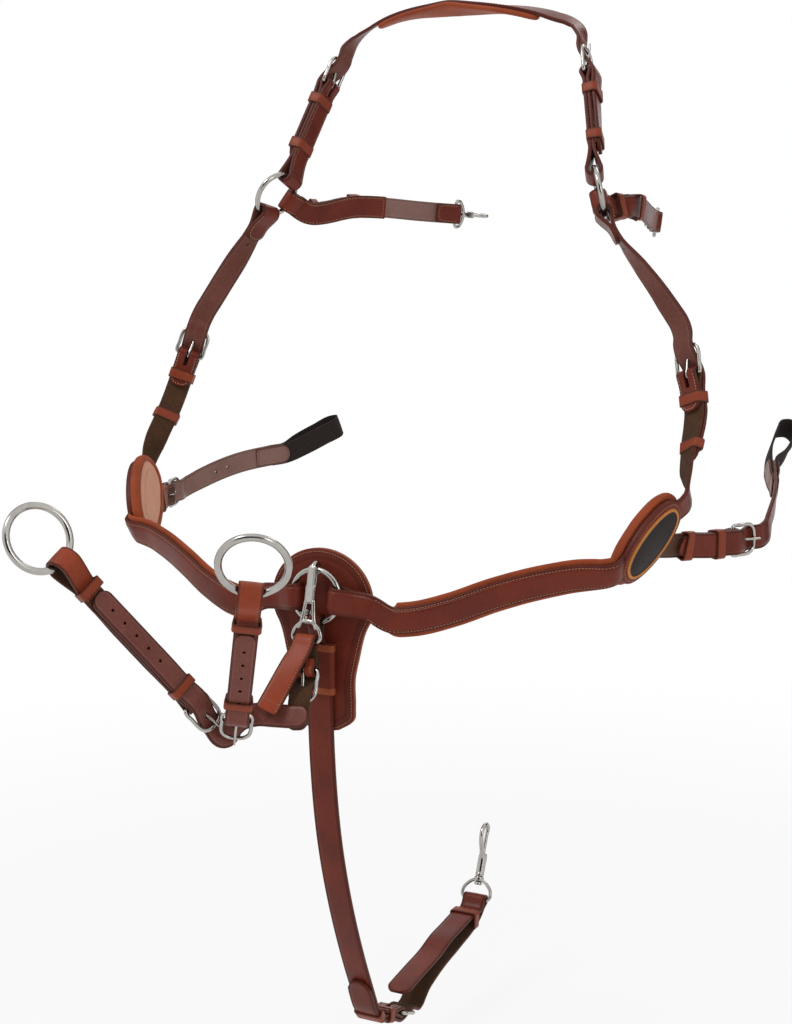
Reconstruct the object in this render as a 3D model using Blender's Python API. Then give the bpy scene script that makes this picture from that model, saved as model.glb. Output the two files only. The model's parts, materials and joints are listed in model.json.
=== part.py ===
# Five-point breastplate for a horse, in its worn shape, held up at the withers.
# +X is the right-hand side seen from the front, +Y runs back along the horse and +Z is up.
# Places are given in millimetres from the middle of the centre ring; the scene's origin
# is the underside of the withers pad, and the scene's units are metres.

import bpy
import bmesh
import math
from collections import namedtuple
from mathutils import Matrix, Vector

for old in list(bpy.data.objects):
    bpy.data.objects.remove(old, do_unlink=True)

MM = 0.001

# Clearances
GAP = 0.3 * MM            # between two pieces that touch
LOOSE = 0.7 * MM          # between a straight wire and the leather folded round it
RING_LOOSE = 1.0 * MM     # the same round the curved wire of a ring

# Leather
LEATHER = 3.2 * MM        # thickness of every strap
STRAP = 22 * MM           # width of the wither, neck, shoulder and side straps
SADDLE = 20 * MM          # width of the saddle straps
BELLY = 25 * MM           # width of the belly strap
FORK = 20 * MM            # width of the martingale straps
CHAPE = 30 * MM           # length of a strap end folded back and sewn
KEEPER = 10 * MM          # length of a keeper along the strap
KEEPER_WALL = 1.8 * MM    # thickness of a keeper's leather
HOLE = 3.6 * MM           # diameter of a punched hole
HOLE_STEP = 15 * MM       # distance between punched holes
WITHER_PAD = 5 * MM       # thickness of the padded lining under the wither strap
WITHER_PAD_WIDTH = 32 * MM
LINING = 5 * MM           # thickness of the padded lining behind the breast straps
LINING_WIDTH = 30 * MM
ELASTIC = 1.8 * MM        # thickness of the elastic webbing
PAD = 9 * MM              # thickness of the shoulder pads
PAD_LENGTH = 92 * MM
PAD_WIDTH = 60 * MM
FACING = 3.2 * MM         # leather over the strap ends on a shoulder pad
BADGE_LENGTH = 72 * MM
BADGE_WIDTH = 40 * MM
BADGE_RISE = 1.6 * MM
KEYHOLE = 7 * MM          # thickness of the keyhole pad behind the centre ring

# How closely a strap follows its curve
STRAIGHT = 0.12 * MM      # a key nearer than this to its neighbours' line is left out
TURN = math.radians(4)    # a key's face may turn this much and still be left out
LONGEST = 26 * MM

# Metal
WIRE = 5 * MM             # diameter of the wire of the neck rings and the centre ring
NECK_RING = 49 * MM       # outer diameter of a neck ring
CENTRE_RING = 51 * MM
REIN_RING = 61 * MM
REIN_WIRE = 6.2 * MM
BUCKLE_WIRE = 3.4 * MM    # diameter of a buckle's wire
BUCKLE_LENGTH = 27 * MM   # heel bar to front bar
TONGUE_WIRE = 2.4 * MM
SNAP_WIRE = 4.6 * MM      # diameter of a snap's hook

# The worn shape
WITHERS = Vector((0, 263, 511)) * MM
RING_AXIS = {1: (0.887, 0.415, 0.217), -1: (-0.83, 0.29, 0.48)}     # axes of the neck rings

Station = namedtuple("Station", "place normal across wide")
Key = namedtuple("Key", "place normal wide across", defaults=(None,))


# Places and directions

def at(x, y, z):
    """A place in millimetres from the centre ring's middle, in the scene's metres."""
    return Vector((x, y, z)) * MM - WITHERS


def unit(x, y, z):
    return Vector((x, y, z)).normalized()


def mirrored(vector, side):
    """The same direction on the given side: 1 is the right-hand side, -1 the left."""
    return Vector((vector[0] * side, vector[1], vector[2]))


def keys(side, *rows):
    """Keys from rows of (x, y, z, nx, ny, nz), mirrored to the given side."""
    made = []
    for x, y, z, nx, ny, nz in rows:
        made.append(Key(at(x * side, y, z), mirrored(unit(nx, ny, nz), side), 1.0))
    return made


def square_to(vector, direction):
    """The part of vector that is square to direction, as a unit vector."""
    return (vector - direction * vector.dot(direction)).normalized()


# Routes

def flow(route, steps):
    """Keys on a smooth curve through the given keys, with the face turning evenly."""
    leans = [lean(route, i) for i in range(len(route))]
    made = [route[0]]
    for i in range(len(route) - 1):
        start, end = route[i], route[i + 1]
        reach = (end.place - start.place).length
        for k in range(1, steps + 1):
            t = k / steps
            place = curve_value(start.place, leans[i] * reach, end.place, leans[i + 1] * reach, t)
            normal = start.normal.lerp(end.normal, t).normalized()
            made.append(Key(place, normal, start.wide + (end.wide - start.wide) * t))
    return made


def thinned(route):
    """The same keys without those that a straight stretch doesn't need."""
    made = [route[0]]
    for i in range(1, len(route) - 1):
        before, key, after = made[-1], route[i], route[i + 1]
        line = (after.place - before.place).normalized()
        off = key.place - before.place
        bulge = (off - line * off.dot(line)).length
        turned_by = max(before.normal.angle(key.normal), key.normal.angle(after.normal))
        if bulge > STRAIGHT or turned_by > TURN or off.length > LONGEST:
            made.append(key)
    return made + [route[-1]]


def lean(route, i):
    """The direction of the curve at a key; the nearer neighbour counts for more."""
    if i == 0 or i == len(route) - 1:
        one, two = route[max(i - 1, 0)], route[min(i + 1, len(route) - 1)]
        return (two.place - one.place).normalized()
    before = route[i].place - route[i - 1].place
    after = route[i + 1].place - route[i].place
    return (before.normalized() * after.length + after.normalized() * before.length).normalized()


def curve_value(start, leaving, end, arriving, t):
    """A point of the cubic curve with the given ends and directions."""
    return ((2 * t ** 3 - 3 * t ** 2 + 1) * start + (t ** 3 - 2 * t ** 2 + t) * leaving
            + (3 * t ** 2 - 2 * t ** 3) * end + (t ** 3 - t ** 2) * arriving)


def onward(start, route, steps, spare=0):
    """The smooth curve on from a fold's straight end, through the given keys but the spare last ones."""
    smooth = flow(start[-2:] + route, steps)
    return thinned(smooth[steps:len(smooth) - spare * steps])


def turned(route):
    """The same keys with the strap's other face named first."""
    return [Key(k.place, -k.normal, k.wide) for k in route]


def framed(route, closed=False):
    """Stations with the across direction square to the route and to the face, unless a key gives it."""
    made = []
    count = len(route)
    for i, key in enumerate(route):
        if key.across:
            made.append(Station(key.place, key.normal, key.across, key.wide))
            continue
        if closed:
            before, after = route[i - 1], route[(i + 1) % count]
        else:
            before, after = route[max(i - 1, 0)], route[min(i + 1, count - 1)]
        along = (after.place - before.place).normalized()
        across = along.cross(key.normal).normalized()
        made.append(Station(key.place, across.cross(along).normalized(), across, key.wide))
    return made


def stretch(stations, start, length):
    """The stations between two distances along a strap, with one at each end."""
    walked = 0.0
    made = []
    for one, two in zip(stations, stations[1:]):
        step = (two.place - one.place).length
        for mark in (start, start + length):
            if walked <= mark < walked + step:
                made.append(mixed(one, two, (mark - walked) / step))
        walked += step
        if start < walked < start + length:
            made.append(two)
    return made


def mixed(one, two, t):
    return Station(one.place.lerp(two.place, t), one.normal.lerp(two.normal, t).normalized(),
                   one.across.lerp(two.across, t).normalized(), one.wide + (two.wide - one.wide) * t)


def walk(stations):
    return sum((b.place - a.place).length for a, b in zip(stations, stations[1:]))


def squared(away, normal, along):
    """The way a strap leaves a wire and its face there, both made square to the wire."""
    away = square_to(away, along)
    face = along.cross(away)
    return away, face if face.dot(normal) > 0 else -face


def fold(wire, away, normal, bore, chape=CHAPE, steps=8, wide=1.0, along=None):
    """Keys of a strap end folded round a wire: the sewn end, the bend, then the strap itself."""
    thick = LEATHER
    normal = square_to(normal, away)
    if along:
        away, normal = squared(away, normal, along)
    bend = bore + thick / 2
    lift = (thick + GAP) / 2
    neck = bend * 2.2
    made = [Key(wire + away * a - normal * lift, -normal, wide) for a in (chape, neck)]
    made += bend_keys(wire, away, normal, bend, steps, wide)
    made += [Key(wire + away * a + normal * lift, normal, wide) for a in (neck, chape + 1 * MM)]
    return made


def bend_keys(wire, away, normal, bend, steps, wide=1.0):
    made = []
    for k in range(steps + 1):
        turn = math.radians(-60 - 240 * k / steps)
        out = away * math.cos(turn) + normal * math.sin(turn)
        made.append(Key(wire + out * bend, out, wide))
    return made


TIP = ((0, 0.3), (0.2, 0.66), (0.55, 0.94), (1, 1))     # a pointed end: share of its length, width


def tip_width(share):
    for (one, narrow), (two, wide) in zip(TIP, TIP[1:]):
        if share < two:
            return narrow + (wide - narrow) * (share - one) / (two - one)
    return 1.0


def pointed(route, length):
    """The same keys with a pointed end: the last stretch is drawn in, with a few keys added."""
    reach = [walk(route[i:]) for i in range(len(route))]
    reach += [length * share for share, wide in TIP[1:] if min(abs(length * share - r) for r in reach) > 1.5 * MM]
    made = []
    for distance in sorted(reach, reverse=True):
        key = key_before_end(route, distance)
        made.append(Key(key.place, key.normal, key.wide * tip_width(distance / length), key.across))
    return made


def key_before_end(route, distance):
    """The key that lies a distance before the end of a route."""
    for one, two in zip(reversed(route[:-1]), reversed(route)):
        step = (two.place - one.place).length
        if distance <= step:
            t = distance / step
            across = two.across.lerp(one.across, t).normalized() if two.across and one.across else None
            return Key(two.place.lerp(one.place, t), two.normal.lerp(one.normal, t).normalized(), two.wide, across)
        distance -= step
    return route[0]


# Solids

FLAT = ((-1, 0), (1, 0), (1, 1), (-1, 1))
CREASED = ((-1, 0), (1, 0), (1, 0.7), (0.9, 1), (-0.9, 1), (-1, 0.7))


def bar(stations, width, low, high, section=FLAT, closed=False):
    """A solid bar that follows the stations: width across, from low to high through its face."""
    rows = len(stations) + 1 if closed else len(stations)
    sides = len(section)
    bm = bmesh.new()
    bmesh.ops.create_grid(bm, x_segments=rows - 1, y_segments=sides, size=1)
    for v in bm.verts:
        i = round((v.co.x + 1) / 2 * (rows - 1)) % len(stations)
        j = round((v.co.y + 1) / 2 * sides) % sides
        st = stations[i]
        side, through = section[j]
        v.co = (st.place + st.across * (width / 2 * st.wide * side)
                + st.normal * (low + (high - low) * through))
    bmesh.ops.remove_doubles(bm, verts=bm.verts[:], dist=1e-6)
    rim = [e for e in bm.edges if e.is_boundary]
    if rim:
        bmesh.ops.holes_fill(bm, edges=rim, sides=0)
    outwards(bm)
    return bm


def band(stations, width, thick=LEATHER, section=FLAT, closed=False):
    return bar(stations, width, -thick / 2, thick / 2, section, closed)


def temporary(bm):
    mesh = bpy.data.meshes.new("working")
    bm.to_mesh(mesh)
    bm.free()
    thing = bpy.data.objects.new("working", mesh)
    bpy.context.collection.objects.link(thing)
    return thing


def combined(bm, other, operation):
    """One solid joined with, or cut by, another; twisted faces are split into flat ones first."""
    for solid in (bm, other):
        bmesh.ops.triangulate(solid, faces=solid.faces[:])
    thing, tool = temporary(bm), temporary(other)
    step = thing.modifiers.new("step", "BOOLEAN")
    step.operation = operation
    step.solver = "EXACT"
    step.object = tool
    bpy.context.view_layer.update()
    result = bmesh.new()
    result.from_object(thing, bpy.context.evaluated_depsgraph_get())
    for used in (thing, tool):
        mesh = used.data
        bpy.data.objects.remove(used, do_unlink=True)
        bpy.data.meshes.remove(mesh)
    bmesh.ops.remove_doubles(result, verts=result.verts[:], dist=1e-6)
    bmesh.ops.dissolve_degenerate(result, edges=result.edges[:], dist=4e-6)
    bmesh.ops.dissolve_limit(result, angle_limit=math.radians(0.4), verts=result.verts[:],
                             edges=result.edges[:])
    return result


def joined(bm, *others):
    for other in others:
        bm = combined(bm, other, "UNION")
    return bm


def cut(bm, *others):
    for other in others:
        bm = combined(bm, other, "DIFFERENCE")
    return bm


def rod(place, direction, radius, length, sides=8):
    """A cylinder centred on a place."""
    bm = bmesh.new()
    bmesh.ops.create_cone(bm, cap_ends=True, segments=sides, radius1=radius, radius2=radius, depth=length)
    turn = direction.to_track_quat("Z", "Y").to_matrix().to_4x4()
    bm.transform(Matrix.Translation(place) @ turn)
    return bm


def block(place, along, across, up, size):
    """A box centred on a place, with its sides along three directions."""
    bm = bmesh.new()
    bmesh.ops.create_cube(bm, size=1)
    turn = Matrix((along * size[0], across * size[1], up * size[2])).transposed().to_4x4()
    bm.transform(Matrix.Translation(place) @ turn)
    outwards(bm)
    return bm


def wire(points, radius, closed=False, sides=1, taper=None):
    """A round wire through the given places, as a closed mesh."""
    curve = bpy.data.curves.new("working", "CURVE")
    curve.dimensions = "3D"
    curve.bevel_depth = radius
    curve.bevel_resolution = sides
    curve.use_fill_caps = not closed
    line = curve.splines.new("POLY")
    line.points.add(len(points) - 1)
    line.use_cyclic_u = closed
    for i, p in enumerate(points):
        line.points[i].co = (*p, 1)
        line.points[i].radius = taper[i] if taper else 1
    thing = bpy.data.objects.new("working", curve)
    bpy.context.collection.objects.link(thing)
    bpy.context.view_layer.update()
    mesh = bpy.data.meshes.new_from_object(thing.evaluated_get(bpy.context.evaluated_depsgraph_get()))
    bm = bmesh.new()
    bm.from_mesh(mesh)
    bpy.data.objects.remove(thing, do_unlink=True)
    bpy.data.curves.remove(curve)
    bpy.data.meshes.remove(mesh)
    bmesh.ops.remove_doubles(bm, verts=bm.verts[:], dist=1e-6)
    outwards(bm)
    return bm


# Materials

def material(name, colour, roughness, metallic=0.0):
    made = bpy.data.materials.new(name)
    made.use_nodes = True
    shader = made.node_tree.nodes["Principled BSDF"]
    shader.inputs["Base Color"].default_value = (*colour, 1)
    shader.inputs["Roughness"].default_value = roughness
    shader.inputs["Metallic"].default_value = metallic
    return made


BRIDLE = material("bridle_leather", (0.13, 0.035, 0.022), 0.38)
SOFT = material("lining_leather", (0.34, 0.10, 0.05), 0.5)
STEEL = material("polished_steel", (0.74, 0.74, 0.72), 0.16, 1.0)


def outwards(bm):
    """Turns every face of a closed solid outwards."""
    bmesh.ops.recalc_face_normals(bm, faces=bm.faces[:])
    if bm.calc_volume(signed=True) < 0:
        bmesh.ops.reverse_faces(bm, faces=bm.faces[:])


def piece(name, bm, look, pivot=None):
    """One named object from a solid, with its origin on its pivot."""
    pivot = pivot if pivot is not None else Vector((0, 0, 0))
    outwards(bm)
    bm.transform(Matrix.Translation(-pivot))
    mesh = bpy.data.meshes.new(name)
    bm.to_mesh(mesh)
    bm.free()
    mesh.materials.append(look)
    thing = bpy.data.objects.new(name, mesh)
    thing.location = pivot
    bpy.context.collection.objects.link(thing)
    return thing


# Keepers and holes

def keeper(stations, start, width, low, high, length=KEEPER):
    """A loop of leather round a strap, between two distances along it."""
    reach = stretch(stations, start, length)
    inner = stretch(stations, start - 1 * MM, length + 2 * MM)
    outside = bar(reach, width + 2 * (GAP + KEEPER_WALL), low - KEEPER_WALL, high + KEEPER_WALL, CREASED)
    inside = bar(inner, width + 2 * GAP, low, high)
    return cut(outside, inside)


def punched(bm, stations, starts, width=HOLE):
    for start in starts:
        st = stretch(stations, start, width)[0]
        bm = cut(bm, rod(st.place, st.normal, width / 2, LEATHER * 3))
    return bm


# Rings

def ring(name, middle, axis, outer, thick, segments=28):
    """A ring of round wire."""
    bm = torus(outer / 2 - thick / 2, thick / 2, segments)
    turn = axis.normalized().to_track_quat("Z", "Y").to_matrix().to_4x4()
    bm.transform(Matrix.Translation(middle) @ turn)
    piece(name, bm, STEEL, middle)


def torus(major, minor, segments):
    bpy.ops.mesh.primitive_torus_add(major_radius=major, minor_radius=minor,
                                     major_segments=segments, minor_segments=6)
    thing = bpy.context.object
    bm = bmesh.new()
    bm.from_mesh(thing.data)
    mesh = thing.data
    bpy.data.objects.remove(thing, do_unlink=True)
    bpy.data.meshes.remove(mesh)
    return bm


# Buckles

class Seat:
    """A buckle's place: its heel bar, the way to its front bar, and the side its tongue is on."""

    def __init__(self, heel, ahead, out, width):
        self.heel = heel
        self.ahead = ahead.normalized()
        self.out = square_to(out, self.ahead)
        self.across = self.ahead.cross(self.out)
        self.width = width

    def point(self, a, o, c=0.0):
        return self.heel + self.ahead * a + self.out * o + self.across * c


FOLD_BORE = BUCKLE_WIRE / 2 + LOOSE
FOLD_OUT = FOLD_BORE + LEATHER
OVER = FOLD_OUT + GAP + LEATHER / 2            # middle of a strap that lies over a buckle's fold
LIFT = (LEATHER + GAP) / 2                     # half the distance between two sewn layers
TAIL = LIFT + LEATHER + 3 * GAP                # middle of a strap's tail above a sewn fold
UNDER = BUCKLE_WIRE / 2 + GAP + LEATHER / 2    # middle of a strap under the front bar


def buckle_frame(seat):
    """The wire frame: a straight heel bar and a front with rounded corners."""
    half = seat.width / 2 + GAP * 2 + BUCKLE_WIRE / 2
    corner = 9 * MM
    points = [seat.point(0, 0, -half + 2 * MM), seat.point(0, 0, half - 2 * MM), seat.point(2 * MM, 0, half)]
    for turn in (0, 30, 60, 90):
        a = BUCKLE_LENGTH - corner + corner * math.sin(math.radians(turn))
        c = half - corner + corner * math.cos(math.radians(turn))
        points.append(seat.point(a, 0, c))
    for turn in (90, 60, 30, 0):
        a = BUCKLE_LENGTH - corner + corner * math.sin(math.radians(turn))
        c = half - corner + corner * math.cos(math.radians(turn))
        points.append(seat.point(a, 0, -c))
    points.append(seat.point(2 * MM, 0, -half))
    return wire(points, BUCKLE_WIRE / 2, closed=True)


def buckle_tongue(seat):
    """The tongue: hooked round the heel bar and resting on the front bar."""
    hook = BUCKLE_WIRE / 2 + GAP + TONGUE_WIRE / 2
    points = []
    for turn in range(70, 271, 40):
        angle = math.radians(turn)
        points.append(seat.point(hook * math.cos(angle), hook * math.sin(angle)))
    rest = hook + GAP
    points.append(seat.point(BUCKLE_LENGTH, rest))
    points.append(seat.point(BUCKLE_LENGTH + 4 * MM, rest + 0.6 * MM))
    return wire(points, TONGUE_WIRE / 2)


def tongue_slot(seat):
    """The slot in the folded strap that lets the tongue through."""
    long = 2 * FOLD_OUT + 8 * MM
    return block(seat.point(-2 * MM, 0), seat.ahead, seat.across, seat.out,
                 (long, TONGUE_WIRE + 1.6 * MM, 2 * FOLD_OUT + 2 * MM))


def tongue_hole(seat):
    """The hole in the strap that the tongue goes through, bored along the tongue."""
    hook = BUCKLE_WIRE / 2 + GAP + TONGUE_WIRE / 2
    start, end = seat.point(0, -hook), seat.point(BUCKLE_LENGTH, hook + GAP)
    return rod((start + end) / 2, (end - start).normalized(), TONGUE_WIRE / 2 + 0.8 * MM, (end - start).length)


def straight_pass(seat, far=10 * MM):
    """Keys of a strap that comes in under the front bar, climbs and lies over the fold."""
    made = []
    for a, o in ((far, -UNDER * 0.9), (1 * MM, -UNDER - 0.7 * MM), (-4 * MM, -UNDER - 0.1 * MM)):
        made.append(Key(seat.point(BUCKLE_LENGTH + a, o), seat.out, 1.0))
    for turn in (64, 77, 90):
        angle = math.radians(turn)
        made.append(Key(seat.point(OVER * math.cos(angle), OVER * math.sin(angle)), seat.out, 1.0))
    made.append(Key(seat.point(-FOLD_OUT, (OVER + TAIL) / 2 + 0.5 * MM), seat.out, 1.0))
    return made


def ring_fold_bore(outer, thick, width):
    """Room inside a fold for the curve of a ring across the strap's width."""
    major = outer / 2 - thick / 2
    rise = major - math.sqrt(major ** 2 - (width / 2) ** 2)
    return thick / 2 + rise / 2 + RING_LOOSE, rise / 2


def ring_point(middle, axis, toward, outer, thick, width):
    """The middle of a fold on a ring, on the side that faces a direction."""
    out = square_to(toward, axis.normalized())
    rise = ring_fold_bore(outer, thick, width)[1]
    return middle + out * (outer / 2 - thick / 2 - rise)


def ring_tangent(middle, axis, place):
    """The direction of a ring's wire at a place on it."""
    return axis.cross(place - middle).normalized()


BARE_LOW = 0.6 * MM - LEATHER / 2              # a keeper's bottom wall, from the strap's middle
SEWN_LOW = BARE_LOW - LIFT * 2                 # the same, where the strap's end is folded under it
TAIL_HIGH = TAIL - LIFT + LEATHER / 2 + GAP    # a keeper's top wall over a tail


def strap_keepers(solid, stations, starts, width, length=KEEPER, sewn=CHAPE):
    """A strap with its keepers sewn on, under the folded end as far as that reaches."""
    for start in starts:
        low = SEWN_LOW if start + length < sewn else BARE_LOW
        solid = joined(solid, keeper(stations, start, width, low, TAIL_HIGH, length))
    return solid


# Wither strap

WITHER_HEEL = (136, 266, 449)
WITHER_AHEAD = (-0.25, 0.36, 0.90)
WITHER_OUT = (0.93, 0.15, 0.33)
WITHER_TAIL = 82 * MM
CONNECTOR_SHARES = (0.16, 0.32, 0.48, 0.64, 0.80)     # where a connector's layers are keyed


def wither_seat(side):
    x, y, z = WITHER_HEEL
    return Seat(at(x * side, y, z), mirrored(unit(*WITHER_AHEAD), side),
                mirrored(unit(*WITHER_OUT), side), STRAP)


def neck_ring_middle(side):
    return at(168 * side, 216, 343)


def ring_axis(side):
    return unit(*RING_AXIS[side])


def connector_line(side):
    """The two wires that a connector joins."""
    seat = wither_seat(side)
    middle, axis = neck_ring_middle(side), ring_axis(side)
    return seat.heel, ring_point(middle, axis, seat.heel - middle, NECK_RING, WIRE, STRAP)


def connector_ends(side):
    """The way a connector leaves each wire and its outer face there."""
    heel, ring_end = connector_line(side)
    down = (ring_end - heel).normalized()
    face = mirrored(unit(0.98, 0.18, 0.10), side)
    tangent = ring_tangent(neck_ring_middle(side), ring_axis(side), ring_end)
    return squared(down, face, wither_seat(side).across), squared(-down, face, tangent)


def connector_key(side, distance, height):
    """A key on a connector, at a distance from the buckle and a height over its middle."""
    heel, ring_end = connector_line(side)
    share = distance / (ring_end - heel).length
    faces = connector_ends(side)
    face = faces[0][1].lerp(faces[1][1], share).normalized()
    return Key(heel.lerp(ring_end, share) + face * height, face, 1.0)


def wither_route(side):
    """From the apex of the withers to the tip of one tail."""
    rise = (WITHER_PAD + GAP + LEATHER / 2) / MM
    top = 511 + rise
    route = keys(side, (0, 263, top, 0, 0.25, 0.97), (45, 266, top - 3, 0.22, 0.0, 0.97),
                 (92, 280, top - 12, 0.45, -0.25, 0.86), (116, 286, top - 23, 0.68, -0.15, 0.70))
    route += straight_pass(wither_seat(side))
    heel, ring_end = connector_line(side)
    long = (ring_end - heel).length
    route += [connector_key(side, long * s, TAIL + GAP) for s in CONNECTOR_SHARES[:-1]]
    route.append(connector_key(side, WITHER_TAIL, TAIL + GAP))
    return route


def wither_strap():
    halves = []
    for side in (-1, 1):
        route = wither_route(side)
        smooth = thinned(flow(route[:5], 5)) + route[5:]
        halves.append(pointed(smooth, 14 * MM))
    whole = framed(list(reversed(halves[0]))[:-1] + halves[1])
    solid = band(whole, STRAP)
    middle = [st for st in whole if abs(st.place.x) < 88 * MM and st.place.z > -60 * MM]
    pad = bar(middle, WITHER_PAD_WIDTH, -LEATHER / 2 - WITHER_PAD, -LEATHER / 2 + 1 * MM)
    solid = joined(solid, pad)
    return cut(solid, tongue_hole(wither_seat(-1)), tongue_hole(wither_seat(1)))


def connector(side):
    """The doubled strap from a wither buckle down to a neck ring, sewn into a closed loop."""
    heel, ring_end = connector_line(side)
    long = (ring_end - heel).length
    ring_bend = ring_fold_bore(NECK_RING, WIRE, STRAP)[0] + LEATHER / 2
    heel_bend = FOLD_BORE + LEATHER / 2
    marks = [heel_bend * 2.2] + [long * s for s in CONNECTOR_SHARES]
    (down, heel_face), (up, ring_face) = connector_ends(side)
    route = bend_keys(heel, down, heel_face, heel_bend, 8)
    route += [connector_key(side, mark, LIFT) for mark in marks]
    route += bend_keys(ring_end, up, -ring_face, ring_bend, 8)
    route += turned([connector_key(side, mark, -LIFT) for mark in reversed(marks)])
    solid = band(framed(route, closed=True), STRAP, closed=True)
    core = framed([connector_key(side, long * s, 0) for s in (0,) + CONNECTOR_SHARES + (1,)])
    low, high = -LIFT - LEATHER / 2 + 0.6 * MM, TAIL + LEATHER / 2 + 2 * GAP
    for start in (0.14 * long, 0.62 * long):
        solid = joined(solid, keeper(core, start, STRAP, low, high))
    return cut(solid, tongue_slot(wither_seat(side)))


# Neck strap and shoulder strap

NECK_HEEL = (262, 198, 185)
NECK_AHEAD = (-0.22, 0.30, 0.93)
NECK_OUT = (0.35, 0.92, 0.15)


def neck_seat(side):
    x, y, z = NECK_HEEL
    return Seat(at(x * side, y, z), mirrored(unit(*NECK_AHEAD), side), mirrored(unit(*NECK_OUT), side), STRAP)


def pad_frame(side):
    """The shoulder pad's middle and its directions: up its length, towards the back, and outwards."""
    out = mirrored(unit(0.93, -0.227, -0.289), side)
    up = square_to(mirrored(unit(0.37, 0.62, 0.69), side), out)
    back = up.cross(out) * side
    return at(258 * side, 110, 52), up, back, out


def on_pad(side, back, up, height):
    middle, u, b, out = pad_frame(side)
    return Key(middle + b * back * MM + u * up * MM + out * height, out, 1.0)


SEAM = GAP + LEATHER / 2      # middle of a strap end above the pad's face


def shoulder_main(side):
    """The shoulder strap's own layer, from the buckle's fold down into the pad."""
    seat = neck_seat(side)
    start = fold(seat.heel, -seat.ahead, seat.out, FOLD_BORE, CHAPE * 1.1)
    route = keys(side, (272, 175, 130, 0.45, 0.88, 0.10), (275, 158, 105, 0.70, 0.68, 0.0))
    route += [on_pad(side, 9, 52, SEAM + 0.6 * MM), on_pad(side, 4, 34, SEAM), on_pad(side, 1, 22, SEAM)]
    return start, route


def shoulder_stations(side):
    start, route = shoulder_main(side)
    smooth = onward(start, route, 3)
    return framed(start[:-1] + smooth), framed(start[-2:-1] + smooth)


def shoulder_strap(side):
    whole, main = shoulder_stations(side)
    solid = band(whole, STRAP)
    solid = strap_keepers(solid, main, (8 * MM, 52 * MM), STRAP)
    return cut(solid, tongue_slot(neck_seat(side)))


def tail_route(main, length, height=None):
    """Keys of a strap's tail that lies over another strap, from its fold on."""
    height = height or TAIL - LIFT
    reach = stretch(main, 4 * MM, length)
    return [Key(st.place + st.normal * height, st.normal, 1.0, st.across) for st in reach]


def neck_strap(side):
    middle, axis = neck_ring_middle(side), ring_axis(side)
    seat = neck_seat(side)
    ring_end = ring_point(middle, axis, seat.heel - middle, NECK_RING, WIRE, STRAP)
    away = mirrored(unit(0.54, -0.077, -0.84), side)
    bore = ring_fold_bore(NECK_RING, WIRE, STRAP)[0]
    start = fold(ring_end, away, axis, bore, CHAPE)
    route = keys(side, (212, 208, 277, 0.60, 0.75, 0.30), (236, 209, 246, 0.42, 0.88, 0.1))
    passing = straight_pass(seat)
    main = shoulder_stations(side)[1]
    lower = onward(start, route + passing[:2], 3)
    whole = start[:-1] + lower + passing[2:] + tail_route(main, 66 * MM)
    stations = framed(pointed(whole, 14 * MM))
    solid = band(stations, STRAP)
    solid = cut(solid, tongue_hole(seat))
    spare = framed(lower)
    return punched(solid, spare, [walk(spare) - k * HOLE_STEP for k in (1.4, 2.6)])


# Shoulder pad and breast strap

def slab(side, outline, profile):
    """A flat or crowned piece on the shoulder pad: outline points, and rows of inset and height."""
    middle, up, back, out = pad_frame(side)
    return lozenge(middle, back, up, out, outline, profile)


def lozenge(middle, right, up, out, outline, profile):
    """A closed solid from an outline and rows of (scale, height) from its back to its front."""
    count, rows = len(outline), len(profile)
    bm = bmesh.new()
    bmesh.ops.create_grid(bm, x_segments=count, y_segments=rows - 1, size=1)
    for v in bm.verts:
        i = round((v.co.x + 1) / 2 * count) % count
        j = round((v.co.y + 1) / 2 * (rows - 1))
        inset, height = profile[j]
        x, y = outline[i]
        far = math.hypot(x, y)
        share = max(far - inset, 0) / far
        v.co = middle + right * x * share + up * y * share + out * height
    bmesh.ops.remove_doubles(bm, verts=bm.verts[:], dist=1e-6)
    rim = [e for e in bm.edges if e.is_boundary]
    bmesh.ops.holes_fill(bm, edges=rim, sides=0)
    outwards(bm)
    return bm


def leaf(width, length, points=24, taper=0.12):
    """Outline of a shoulder pad: an oval, a little narrower at the bottom."""
    made = []
    for k in range(points):
        turn = 2 * math.pi * k / points
        x, y = math.sin(turn), -math.cos(turn)
        power = 0.85
        x = math.copysign(abs(x) ** power, x)
        made.append((width / 2 * x * (1 - taper * (1 - y) / 2), length / 2 * y))
    return made


def breast_main(side):
    """The breast strap's own layer, from the centre ring's fold into the shoulder pad."""
    middle = at(0, 0, 0)
    wide = STRAP + 1 * MM
    wire_end = ring_point(middle, Vector((0, 1, 0)), Vector((side, 0, -0.10)), CENTRE_RING, WIRE, wide)
    away = unit(side, 0.02, -0.10)
    bore = ring_fold_bore(CENTRE_RING, WIRE, wide)[0]
    start = fold(wire_end, away, Vector((0, -1, 0)), bore, CHAPE)
    route = keys(side, (72, 1, -14, 0.08, -1, 0), (94, 4, -12, 0.16, -0.98, 0),
                 (122, 14, -4, 0.32, -0.94, -0.05), (155, 29, 9, 0.42, -0.90, -0.08),
                 (188, 46, 19, 0.50, -0.85, -0.12), (218, 60, 25, 0.60, -0.76, -0.20))
    route += [on_pad(side, -13, -44, SEAM + 2 * MM), on_pad(side, -7, -30, SEAM), on_pad(side, -3, -19, SEAM)]
    return start, route


def breast_stations(side):
    start, route = breast_main(side)
    smooth = onward(start, route, 3)
    return framed(start[:-1] + smooth), framed(start[-2:-1] + smooth)


def breast_strap(side):
    return band(breast_stations(side)[0], STRAP + 1 * MM)


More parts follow.
